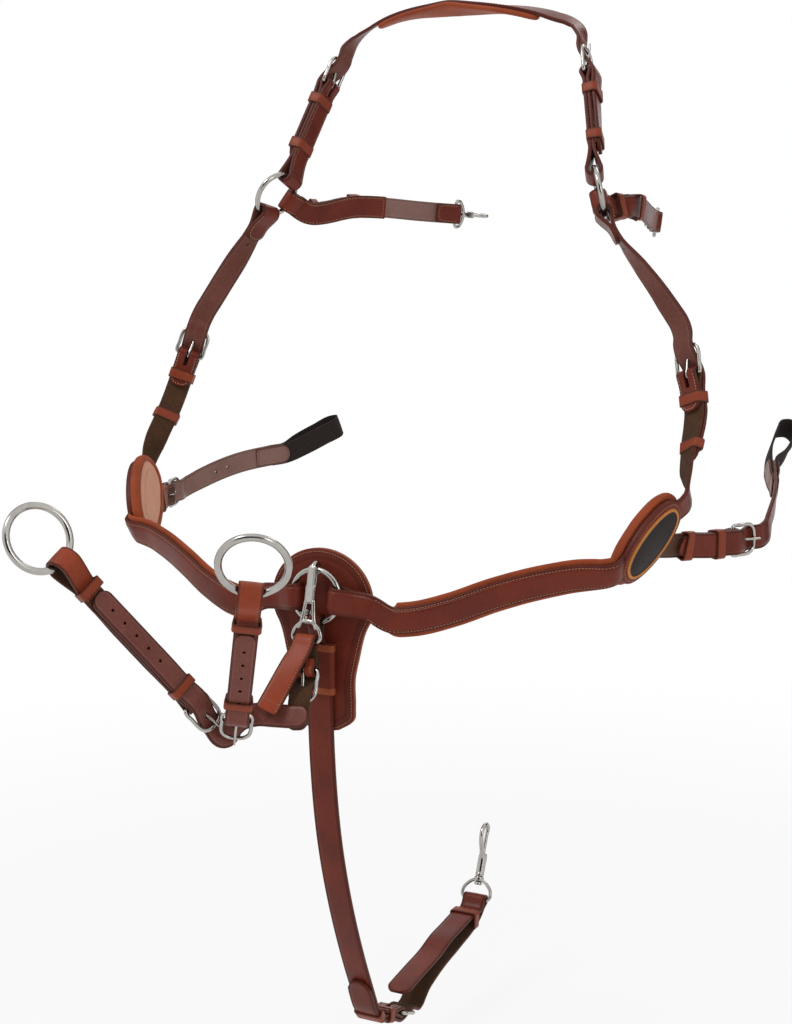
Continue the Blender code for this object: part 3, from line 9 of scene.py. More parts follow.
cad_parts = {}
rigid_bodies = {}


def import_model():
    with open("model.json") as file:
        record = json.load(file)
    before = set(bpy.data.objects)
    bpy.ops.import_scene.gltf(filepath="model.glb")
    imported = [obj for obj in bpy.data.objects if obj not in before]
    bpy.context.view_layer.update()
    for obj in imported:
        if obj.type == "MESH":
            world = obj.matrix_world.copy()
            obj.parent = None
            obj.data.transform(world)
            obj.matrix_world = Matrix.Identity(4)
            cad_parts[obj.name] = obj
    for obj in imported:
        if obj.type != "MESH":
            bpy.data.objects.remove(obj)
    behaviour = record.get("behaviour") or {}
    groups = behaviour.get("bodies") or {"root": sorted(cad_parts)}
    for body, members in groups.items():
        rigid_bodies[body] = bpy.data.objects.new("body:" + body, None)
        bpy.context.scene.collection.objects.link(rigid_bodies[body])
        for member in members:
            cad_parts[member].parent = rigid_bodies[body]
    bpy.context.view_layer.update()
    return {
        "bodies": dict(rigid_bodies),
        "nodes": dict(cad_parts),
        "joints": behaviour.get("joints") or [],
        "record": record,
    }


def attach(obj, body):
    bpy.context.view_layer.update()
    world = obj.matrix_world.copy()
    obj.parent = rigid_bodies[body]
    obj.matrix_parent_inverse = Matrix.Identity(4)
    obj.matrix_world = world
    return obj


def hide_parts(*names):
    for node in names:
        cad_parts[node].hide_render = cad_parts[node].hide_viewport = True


bl_info = {
    "name": "Five-point breastplate",
    "version": (1, 0, 0),
    "blender": (4, 5, 0),
    "location": "3D View > Sidebar > Breastplate",
    "description": "Dresses the breastplate's solids in leather, thread, steel and padding",
    "category": "Object",
}

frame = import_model()
BODY_OF = {node: body for body, nodes in frame["record"]["behaviour"]["bodies"].items() for node in nodes}

# Sizes that the solids also have, in metres.

MM = 0.001
LEATHER = 3.2 * MM
BUCKLE_WIRE = 3.4 * MM
BUCKLE_LENGTH = 27 * MM
TONGUE_WIRE = 2.4 * MM
SNAP_WIRE = 4.6 * MM
EYE_WIRE = 3.6 * MM
GAP = 0.3 * MM
KEEPER_WALL = 1.8 * MM
HOLE = 2.7 * MM
WITHERS = Vector((0, 263, 511)) * MM

# How far a tongue's middle is from its bar's; a gate's thickness and the radii of its boss and its pin.

HOOK = BUCKLE_WIRE / 2 + GAP + TONGUE_WIRE / 2
GATE = 3 * MM
BOSS = 1.9 * MM
PIN = 0.8 * MM

# How wide each strap is, in millimetres; straps that aren't named are 22 wide.

WIDTHS = {
    "breast_strap": 23, "saddle_strap_under": 19, "saddle_strap": 20, "rein_strap": 20, "belly_strap": 25,
    "girth_strap": 25, "martingale_strap": 20, "fork": 20,
}


# Vectors and places

def unit(x, y, z):
    return Vector((x, y, z)).normalized()


def square_to(vector, direction):
    """The part of vector that is square to direction, as a unit vector."""
    return (vector - direction * vector.dot(direction)).normalized()


class Stand:
    """A place with its own directions: ahead, across and out."""

    def __init__(self, place, ahead, out):
        self.place = Vector(place)
        self.ahead = Vector(ahead).normalized()
        self.out = square_to(Vector(out), self.ahead)
        self.across = self.ahead.cross(self.out)

    def point(self, a, o, c=0.0):
        """The place that is a ahead, o out and c across."""
        return self.place + self.ahead * a + self.out * o + self.across * c

    def axes(self):
        return self.ahead, self.across, self.out


class Seat(Stand):
    """A buckle's place: its heel bar, the way to its front bar, and the side its tongue is on."""

    def __init__(self, place, ahead, out, width=22):
        super().__init__(place, ahead, out)
        self.width = width * MM


SEATS = {
    "left_wither": Seat((-0.136, 0.003, -0.062), (0.2497, 0.3596, 0.8991), (-0.9682, 0.1084, 0.2256)),
    "right_wither": Seat((0.136, 0.003, -0.062), (-0.2497, 0.3596, 0.8991), (0.9682, 0.1084, 0.2256)),
    "left_neck": Seat((-0.262, -0.065, -0.326), (0.2196, 0.2995, 0.9285), (-0.4529, 0.8742, -0.1749)),
    "right_neck": Seat((0.262, -0.065, -0.326), (-0.2196, 0.2995, 0.9285), (0.4529, 0.8742, -0.1749)),
    "left_side": Seat((-0.3, -0.049, -0.472), (-0.2518, 0.9669, 0.0403), (-0.9676, -0.2523, 0.0087)),
    "right_side": Seat((0.3, -0.049, -0.472), (0.4512, 0.8924, 0.0), (0.8924, -0.4512, 0.0)),
    "left_rein": Seat((-0.0608, -0.3622, -0.5889), (0.4892, 0.425, -0.7616), (0.8582, -0.3904, 0.3334), 20),
    "right_rein": Seat((-0.0225, -0.3545, -0.597), (-0.3419, 0.3703, -0.8637), (0.4027, -0.7727, -0.4906), 20),
    "belly": Seat((0.0, -0.126, -0.943), (0.0, 0.9326, -0.361), (0.0, -0.361, -0.9326), 25),
    "martingale": Seat((0.004, -0.28926, -0.57101), (0.1575, -0.4972, -0.8532), (-0.0124, 0.8629, -0.5051), 20),
}

# Each ring's middle, its axis, how wide it is outside, and its wire.

RINGS = {
    "left_neck_ring": ((-0.168, -0.047, -0.168), (-0.8286, 0.2895, 0.4792), 49 * MM, 5 * MM),
    "right_neck_ring": ((0.168, -0.047, -0.168), (0.8843, 0.4137, 0.2163), 49 * MM, 5 * MM),
    "left_rein_ring": ((-0.154, -0.4416, -0.4461), (0.8325, -0.4113, 0.3711), 61 * MM, 6.2 * MM),
    "right_rein_ring": ((0.032, -0.413, -0.457), (0.4212, -0.7923, -0.4413), 61 * MM, 6.2 * MM),
    "centre_ring": ((0.0, -0.263, -0.511), (0, 1, 0), 51 * MM, 5 * MM),
}


# Shader maths

class Wire:
    """What a node gives. Sums on it add the Math nodes that work them out."""

    def __init__(self, look, socket):
        self.look = look
        self.socket = socket

    def sum(self, operation, *values):
        return self.look.node("ShaderNodeMath", {"operation": operation}, dict(enumerate(values)))

    def __add__(self, other):
        return self.sum("ADD", self, other)

    def __radd__(self, other):
        return self.sum("ADD", other, self)

    def __rsub__(self, other):
        return self.sum("SUBTRACT", other, self)

    def __mul__(self, other):
        return self.sum("MULTIPLY", self, other)

    def __abs__(self):
        return self.sum("ABSOLUTE", self)

    def sine(self):
        return self.sum("SINE", self)

    def highest(self, other):
        return self.sum("MAXIMUM", self, other)

    def between(self, low, high, start=0.0, end=1.0):
        """This value taken from its own range to another, held at the ends."""
        return self.look.node("ShaderNodeMapRange", {"interpolation_type": "SMOOTHSTEP"},
                              {0: self, 1: low, 2: high, 3: start, 4: end})


class Tree:
    """A node tree being made."""

    def __init__(self, tree):
        self.tree = tree

    def node(self, kind, settings=None, sockets=None, out=0):
        """One node, with its settings made first and then its sockets, and what it gives."""
        made = self.tree.nodes.new(kind)
        for word, value in (settings or {}).items():
            setattr(made, word, value)
        for key, value in (sockets or {}).items():
            self.feed(made.inputs[key], value)
        return Wire(self, made.outputs[out])

    def feed(self, socket, value):
        if isinstance(value, Wire):
            self.tree.links.new(value.socket, socket)
        else:
            socket.default_value = value

    def seen(self):
        """1 for a ray from the camera, from a shiny surface or through glass, else 0."""
        camera, glossy, clear = (self.node("ShaderNodeLightPath", out=f"Is {word} Ray")
                                 for word in ("Camera", "Glossy", "Transmission"))
        return camera.highest(glossy).highest(clear)


class Look(Tree):
    """A material being made: its nodes, and the shader that they feed."""

    def __init__(self, name, **constants):
        self.material = bpy.data.materials.new(name)
        self.material.use_nodes = True
        super().__init__(self.material.node_tree)
        self.shader = self.tree.nodes["Principled BSDF"]
        for word, value in constants.items():
            self.shader.inputs[word.replace("_", " ")].default_value = value

    def finish(self, colour, roughness, height=None, distance=0.0, strength=1.0):
        """Feeds the shader its colour, its roughness and its small relief, whose distance is in metres."""
        self.feed(self.shader.inputs["Base Color"], colour)
        self.feed(self.shader.inputs["Roughness"], roughness)
        if height:
            relief = {"Height": height, "Distance": distance, "Strength": strength}
            self.feed(self.shader.inputs["Normal"], self.node("ShaderNodeBump", None, relief))
        return self.material

    def place(self):
        """The place on the piece, in metres."""
        return self.node("ShaderNodeTexCoord", out="Object")

    def strap(self):
        """How far along the strap in metres, and across it from -1 to 1 at its edges."""
        split = self.node("ShaderNodeSeparateXYZ", None, {0: self.node("ShaderNodeUVMap", {"uv_map": "strap"})})
        return split, Wire(self, split.socket.node.outputs[1])

    def noise(self, scale, detail=3.0, rough=0.55, stretch=None):
        where = self.place()
        if stretch:
            where = self.node("ShaderNodeVectorMath", {"operation": "MULTIPLY"}, {0: where, 1: stretch})
        return self.node("ShaderNodeTexNoise", None,
                         {"Vector": where, "Scale": scale, "Detail": detail, "Roughness": rough})

    def cells(self, scale):
        return self.node("ShaderNodeTexVoronoi", None, {"Vector": self.place(), "Scale": scale}, "Distance")

    def mix(self, share, one, two):
        """Two colours mixed by a share from 0 to 1."""
        one, two = ((*tone, 1) if isinstance(tone, tuple) else tone for tone in (one, two))
        return self.node("ShaderNodeMix", {"data_type": "RGBA"}, {0: share, 6: one, 7: two}, 2)


def shade(colour, share):
    """A colour made lighter or darker."""
    return tuple(min(c * share, 1) for c in colour)


def leather_face(name, deep, warm, pull_up_and_highlight, gloss, grain=1.0):
    """The smooth waxed side of a strap: fine grain, pull-up in its colour, dark dyed edges deepened with painted shade,
    a darker crease line and a painted highlight line inside it.
    """
    look = Look(name, Coat_Weight=0.03, Coat_Roughness=0.16, Specular_IOR_Level=0.2)
    across = look.strap()[1]
    cloud = look.noise(26, 4.0, 0.6)
    fine = look.noise(420, 3.0, 0.6)
    pores = look.cells(1150)
    creases = look.noise(150, 4.0, 0.7, stretch=(1.0, 1.0, 0.35))
    wide = look.noise(9, 3.0, 0.5)
    colour = look.mix(cloud.between(0.35, 0.68) * 0.7 + wide.between(0.35, 0.65) * 0.5, deep, warm)
    colour = look.mix(fine.between(0.45, 0.8) * 0.30, colour, pull_up_and_highlight)
    colour = look.mix(pores.between(0.0, 0.35, 1.0, 0.0) * 0.35, colour, shade(deep, 0.45))
    # Darker towards each edge and along the crease line: the edge dye, made deeper as painted shade at the edges.
    rim = abs(across).between(0.80, 0.99)
    line = abs(across).between(0.76, 0.81) * (1 - abs(across).between(0.83, 0.87))
    # A pale band just inside the crease line, mixed towards the pull-up colour: a painted highlight along each edge.
    pale = abs(across).between(0.70, 0.745) * (1 - abs(across).between(0.745, 0.79))
    colour = look.mix(pale * 0.6, colour, pull_up_and_highlight)
    colour = look.mix(rim * 0.5 + line * 0.5, colour, shade(deep, 0.35))
    roughness = gloss + cloud.between(0.3, 0.7) * 0.10 + creases.between(0.45, 0.75) * 0.08 + rim * 0.06
    return look.finish(colour, roughness, pores * 0.5 * grain + fine * 0.35 * grain + creases * 0.9, 0.22 * MM, 0.55)


def leather_flesh(name, deep, pale):
    """The suede side: short fibres and pale specks."""
    look = Look(name, Sheen_Weight=0.04, Sheen_Roughness=0.6, Specular_IOR_Level=0.12)
    cloud = look.noise(40, 4.0, 0.65)
    fibre = look.noise(900, 4.0, 0.75, stretch=(1.0, 1.0, 0.5))
    specks = look.noise(2100, 2.0, 0.5)
    colour = look.mix(cloud.between(0.3, 0.7), deep, shade(deep, 1.45))
    colour = look.mix(fibre.between(0.48, 0.72) * 0.5, colour, pale)
    colour = look.mix(specks.between(0.62, 0.72) * 0.55, colour, shade(pale, 1.9))
    return look.finish(colour, 0.78 + cloud * 0.14, fibre + specks * 0.5, 0.5 * MM, 0.7)


def leather_edge(name, colour):
    """The burnished cut edge, with the layers' faint lines."""
    look = Look(name, Coat_Weight=0.03, Coat_Roughness=0.25, Specular_IOR_Level=0.2)
    grain = look.noise(700, 3.0, 0.6)
    layer = (look.strap()[1] * 9).sine() * 0.5 + 0.5
    tone = look.mix(grain.between(0.35, 0.7) * 0.6 + layer * 0.2, colour, shade(colour, 1.9))
    return look.finish(tone, 0.34 + grain * 0.2, grain, 0.3 * MM, 0.5)


def soft_leather(name, deep, warm, roughness):
    """Soft lining leather: open wrinkled grain over padding."""
    look = Look(name, Sheen_Weight=0.01, Sheen_Roughness=0.5, Specular_IOR_Level=0.14)
    cloud = look.noise(34, 4.0, 0.6)
    pebbles = look.cells(700)
    folds = look.noise(120, 5.0, 0.7)
    colour = look.mix(cloud.between(0.32, 0.7), deep, warm)
    colour = look.mix(pebbles.between(0.05, 0.4, 1.0, 0.0) * 0.35, colour, shade(deep, 0.55))
    return look.finish(colour, roughness + folds * 0.16, pebbles * 0.8 + folds * 1.2, 0.45 * MM, 0.6)


def elastic_web(name, dark, pale):
    """Ribbed webbing: ribs along its length and fine picks across them."""
    look = Look(name, Specular_IOR_Level=0.12, Sheen_Weight=0.04, Sheen_Roughness=0.5)
    along, across = look.strap()
    ribs = (across * (math.pi * 17)).sine()
    picks = (along * (2 * math.pi / (1.1 * MM))).sine()
    weave = (ribs * 0.5 + 0.5) * 0.7 + (picks * 0.5 + 0.5) * 0.3
    fuzz = look.noise(1500, 3.0, 0.7)
    colour = look.mix(weave * 0.6 + fuzz * 0.4, dark, pale)
    return look.finish(colour, 0.75 + fuzz * 0.15, weave + fuzz * 0.3, 0.6 * MM, 0.8)


def twisted_thread(name, pale, deep):
    """Waxed linen thread: the twist shows as slanting light and dark bands."""
    look = Look(name, Sheen_Weight=0.05, Sheen_Roughness=0.4, Specular_IOR_Level=0.2)
    along, across = look.strap()
    twist = (along * (2 * math.pi / (0.85 * MM)) + across * 3.2).sine() * 0.5 + 0.5
    tint = look.noise(130, 2.0, 0.5)
    return look.finish(look.mix(twist * 0.55 + tint * 0.35, deep, pale), 0.62 + tint * 0.15, twist, 0.18 * MM, 0.8)


def polished_steel(name, colour, roughness):
    """Polished stainless steel, finely scratched, its colour darker in soft patches as painted reflections of dark
    surroundings.
    """
    look = Look(name, Metallic=1.0)
    cloud = look.noise(70, 3.0, 0.6)
    marks = look.noise(900, 3.0, 0.7, stretch=(1.0, 0.15, 1.0))
    # Soft patches of darker colour: painted reflections of dark surroundings.
    tone = look.mix(cloud.between(0.35, 0.7), colour, shade(colour, 0.86))
    return look.finish(tone, roughness + marks.between(0.4, 0.75) * 0.10 + cloud * 0.05, marks, 0.05 * MM, 0.35)


def badge_rubber(name, colour):
    """The plain black panel of the badge, with a fine stipple."""
    look = Look(name, Specular_IOR_Level=0.12)
    stipple = look.cells(1300)
    cloud = look.noise(60, 3.0, 0.5)
    return look.finish(look.mix(cloud, colour, shade(colour, 1.7)), 0.34 + cloud * 0.12, stipple, 0.22 * MM, 0.6)


def look(name):
    """One of the object's finishes, made when it is first asked for."""
    made = bpy.data.materials.get(name)
    if made:
        return made
    hides, metal = bpy.context.scene.breastplate_hides, bpy.context.scene.breastplate_metal

    def own(word, share=1.0):
        return shade(getattr(hides, word), share)

    pull_up_and_highlight = own("face_pull_up_and_highlight")
    makers = {
        "bridle": lambda: leather_face(name, own("face"), own("face_warm"), pull_up_and_highlight, hides.gloss),
        "keeper": lambda: leather_face(name, own("keeper"), own("keeper", 1.25), (0.40, 0.13, 0.07), 0.36),
        "brown_tab": lambda: leather_face(name, own("tab"), own("tab", 1.3), (0.16, 0.085, 0.05), 0.55, 1.6),
        "chestnut": lambda: leather_face(name, own("chestnut"), own("chestnut", 1.3), (0.32, 0.10, 0.05), 0.36),
        "facing": lambda: leather_face(name, own("face", 0.85), own("face_warm", 0.9), pull_up_and_highlight, 0.42),
        "bridle_back": lambda: leather_face(name, (0.15, 0.044, 0.031), (0.20, 0.064, 0.047), (0.32, 0.15, 0.11), 0.34),
        "pale_back": lambda: leather_face(name, (0.26, 0.135, 0.11), (0.33, 0.185, 0.155), (0.42, 0.27, 0.23), 0.30),
        "mauve": lambda: leather_face(name, (0.175, 0.048, 0.036), (0.22, 0.068, 0.05), (0.34, 0.16, 0.13), 0.32),
        "rim": lambda: leather_face(name, (0.62, 0.20, 0.035), (0.70, 0.27, 0.06), (0.74, 0.36, 0.13), 0.4),
        "suede": lambda: leather_flesh(name, own("flesh"), (0.17, 0.095, 0.055)),
        "warm_suede": lambda: leather_flesh(name, (0.13, 0.045, 0.022), (0.24, 0.11, 0.06)),
        "edge": lambda: leather_edge(name, own("edge")),
        "pad_edge": lambda: leather_edge(name, (0.25, 0.06, 0.022)),
        "warm_edge": lambda: leather_edge(name, (0.10, 0.026, 0.012)),
        "lining": lambda: soft_leather(name, own("lining"), own("lining", 1.3), 0.44),
        "pale_lining": lambda: soft_leather(name, own("pale_lining"), own("pale_lining", 1.12), 0.5),
        "web": lambda: elastic_web(name, (0.016, 0.011, 0.010), (0.06, 0.045, 0.04)),
        "thread": lambda: twisted_thread(name, own("thread"), own("thread", 0.55)),
        "pale_thread": lambda: twisted_thread(name, own("pale_thread"), own("pale_thread", 0.6)),
        "dark_thread": lambda: twisted_thread(name, (0.16, 0.035, 0.022), (0.09, 0.02, 0.013)),
        "steel": lambda: polished_steel(name, tuple(metal.steel), metal.roughness),
        "badge": lambda: badge_rubber(name, tuple(metal.badge)),
    }
    return makers[name]()


def looks_of(*names):
    return [look(name) for name in names]


# Meshes

def mesh_object(name, bm, looks):
    mesh = bpy.data.meshes.new(name)
    bm.to_mesh(mesh)
    bm.free()
    for finish in looks:
        mesh.materials.append(finish)
    thing = bpy.data.objects.new(name, mesh)
    bpy.context.scene.collection.objects.link(thing)
    return thing


def facing_out(bm):
    if bm.calc_volume(signed=True) < 0:
        bmesh.ops.reverse_faces(bm, faces=bm.faces[:])
    return bm


def piece_from(name, verts, faces, uvs, mats, looks):
    """A smooth piece from its faces, their map, and the number of each face's finish."""
    thing = mesh_object(name, bmesh.new(), looks)
    mesh = thing.data
    mesh.from_pydata([tuple(v) for v in verts], [], faces)
    mesh.uv_layers.new(name="strap").data.foreach_set("uv", np.array(uvs, np.float32).ravel())
    mesh.polygons.foreach_set("material_index", np.array(mats, np.int32))
    mesh.polygons.foreach_set("use_smooth", np.ones(len(faces), bool))
    bm = bmesh.new()
    bm.from_mesh(mesh)
    facing_out(bm).to_mesh(mesh)
    bm.free()
    return thing


def grid(rows, marks, shares, closed=False):
    """Faces between rows of points that run round a cut, with the two ends, and their map."""
    count = len(shares) - 1
    faces, uvs = [], []
    for i in range(rows if closed else rows - 1):
        j = (i + 1) % rows
        for k in range(count):
            m = (k + 1) % count
            faces.append((i * count + k, i * count + m, j * count + m, j * count + k))
            uvs += [(marks[i], shares[k]), (marks[i], shares[k + 1]), (marks[i + 1], shares[k + 1]),
                    (marks[i + 1], shares[k])]
    if not closed:
        faces += [tuple(range(count - 1, -1, -1)), tuple((rows - 1) * count + k for k in range(count))]
        uvs += [(marks[0], shares[k]) for k in range(count - 1, -1, -1)]
        uvs += [(marks[rows - 1], shares[k]) for k in range(count)]
    return faces, uvs


def cut_finishes(section):
    """The finish of each side of a cut whose points say which side they are on."""
    return [max(a[2], b[2]) for a, b in zip(section, section[1:] + section[:1])]


def circle(place, axis, radius, count):
    """Places round an axis."""
    side = axis.orthogonal().normalized()
    other = axis.cross(side)
    return [place + (side * math.cos(2 * math.pi * k / count) + other * math.sin(2 * math.pi * k / count)) * radius
            for k in range(count)]


def rod(place, direction, radius, length, sides=24):
    bm = bmesh.new()
    bmesh.ops.create_cone(bm, cap_ends=True, segments=sides, radius1=radius, radius2=radius, depth=length)
    turn = Vector(direction).to_track_quat("Z", "Y").to_matrix().to_4x4()
    bm.transform(Matrix.Translation(Vector(place)) @ turn)
    return bm


def block(middle, axes, size, bevel=0.0):
    """A box along three directions, its edges rounded."""
    bm = bmesh.new()
    bmesh.ops.create_cube(bm, size=1)
    turn = Matrix([axis * length for axis, length in zip(axes, size)]).transposed().to_4x4()
    bm.transform(Matrix.Translation(middle) @ turn)
    facing_out(bm)
    if bevel:
        bmesh.ops.bevel(bm, geom=bm.edges[:], offset=bevel, segments=3, affect="EDGES")
    return bm


def carve(thing, look, *solids):
    """Cuts the solids out of a piece for good. A cut that would take most of it away is left out."""
    for solid in solids:
        tool = mesh_object("cutter", solid, [look])
        step = thing.modifiers.new("cut", "BOOLEAN")
        step.operation, step.solver, step.object = "DIFFERENCE", "MANIFOLD", tool
        bpy.context.view_layer.update()
        whole = len(thing.data.polygons)
        mesh = bpy.data.meshes.new_from_object(thing.evaluated_get(bpy.context.evaluated_depsgraph_get()))
        thing.modifiers.clear()
        if len(mesh.polygons) > whole * 0.5:
            thing.data = mesh
        bpy.data.objects.remove(tool, do_unlink=True)


def settle(thing, node):
    """The piece stands for a solid: it moves with the solid's body, and the solid is hidden."""
    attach(thing, BODY_OF[node])
    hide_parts(node)


# Paths

def marks_along(places):
    """How far along a path each of its places is."""
    return np.concatenate([[0], np.cumsum(np.linalg.norm(np.diff(places, axis=0), axis=1))])


def read(rows, marks, s):
    """What rows of values hold at a distance along."""
    return np.stack([np.interp(s, marks, rows[:, k]) for k in range(rows.shape[1])], -1)


def unit_rows(rows):
    return rows / np.linalg.norm(rows, axis=-1)[..., None]


def leans(places, closed):
    """The direction of the smooth line at each place; the nearer neighbour counts for more."""
    after = np.roll(places, -1, 0) - places
    before = np.roll(after, 1, 0)
    long_after = np.linalg.norm(after, axis=1)[:, None] + 1e-12
    long_before = np.linalg.norm(before, axis=1)[:, None] + 1e-12
    made = before / long_before * long_after + after / long_after * long_before
    if not closed:
        made[0] = after[0]
        made[-1] = before[-1]
    return unit_rows(made)


def curve(places, lean, i, j, t):
    """Places on the smooth line between two of its places, at shares t of the way."""
    reach = np.linalg.norm(places[j] - places[i])
    return ((2 * t ** 3 - 3 * t ** 2 + 1) * places[i] + (t ** 3 - 2 * t ** 2 + t) * lean[i] * reach
            + (3 * t ** 2 - 2 * t ** 3) * places[j] + (t ** 3 - t ** 2) * lean[j] * reach)


def smooth_path(points, closed=False, parts=6):
    """A smooth curve through the points, with finer steps."""
    places = np.array([tuple(p) for p in points], float)
    lean, count = leans(places, closed), len(places)
    t = (np.arange(parts) / parts)[:, None]
    made = [curve(places, lean, i, (i + 1) % count, t) for i in range(count if closed else count - 1)]
    return np.concatenate(made if closed else made + [places[-1:]])


def paced(path, pitch, closed=False):
    """Places at an even pitch along a path of points, and the path's direction at each."""
    path = np.asarray(path, float)
    if closed:
        path = np.vstack([path, path[:1]])
    steps = np.linalg.norm(np.diff(path, axis=0), axis=1)
    marks = marks_along(path)
    count = max(1, int(marks[-1] / pitch))
    spots = (np.arange(count) + 0.5) * marks[-1] / count
    found = np.clip(np.searchsorted(marks, spots) - 1, 0, len(steps) - 1)
    return read(path, marks, spots), (path[found + 1] - path[found]) / steps[found][:, None]


# Routes

def table(text):
    """Rows of whole numbers; a comma ends a row."""
    return tuple(tuple(map(int, row.split())) for row in text.split(","))


# Where each strap runs: places in tenths of a millimetre, the direction of its face in hundredths, and
# where it narrows its width in hundredths. A closed strap's rows run round it.

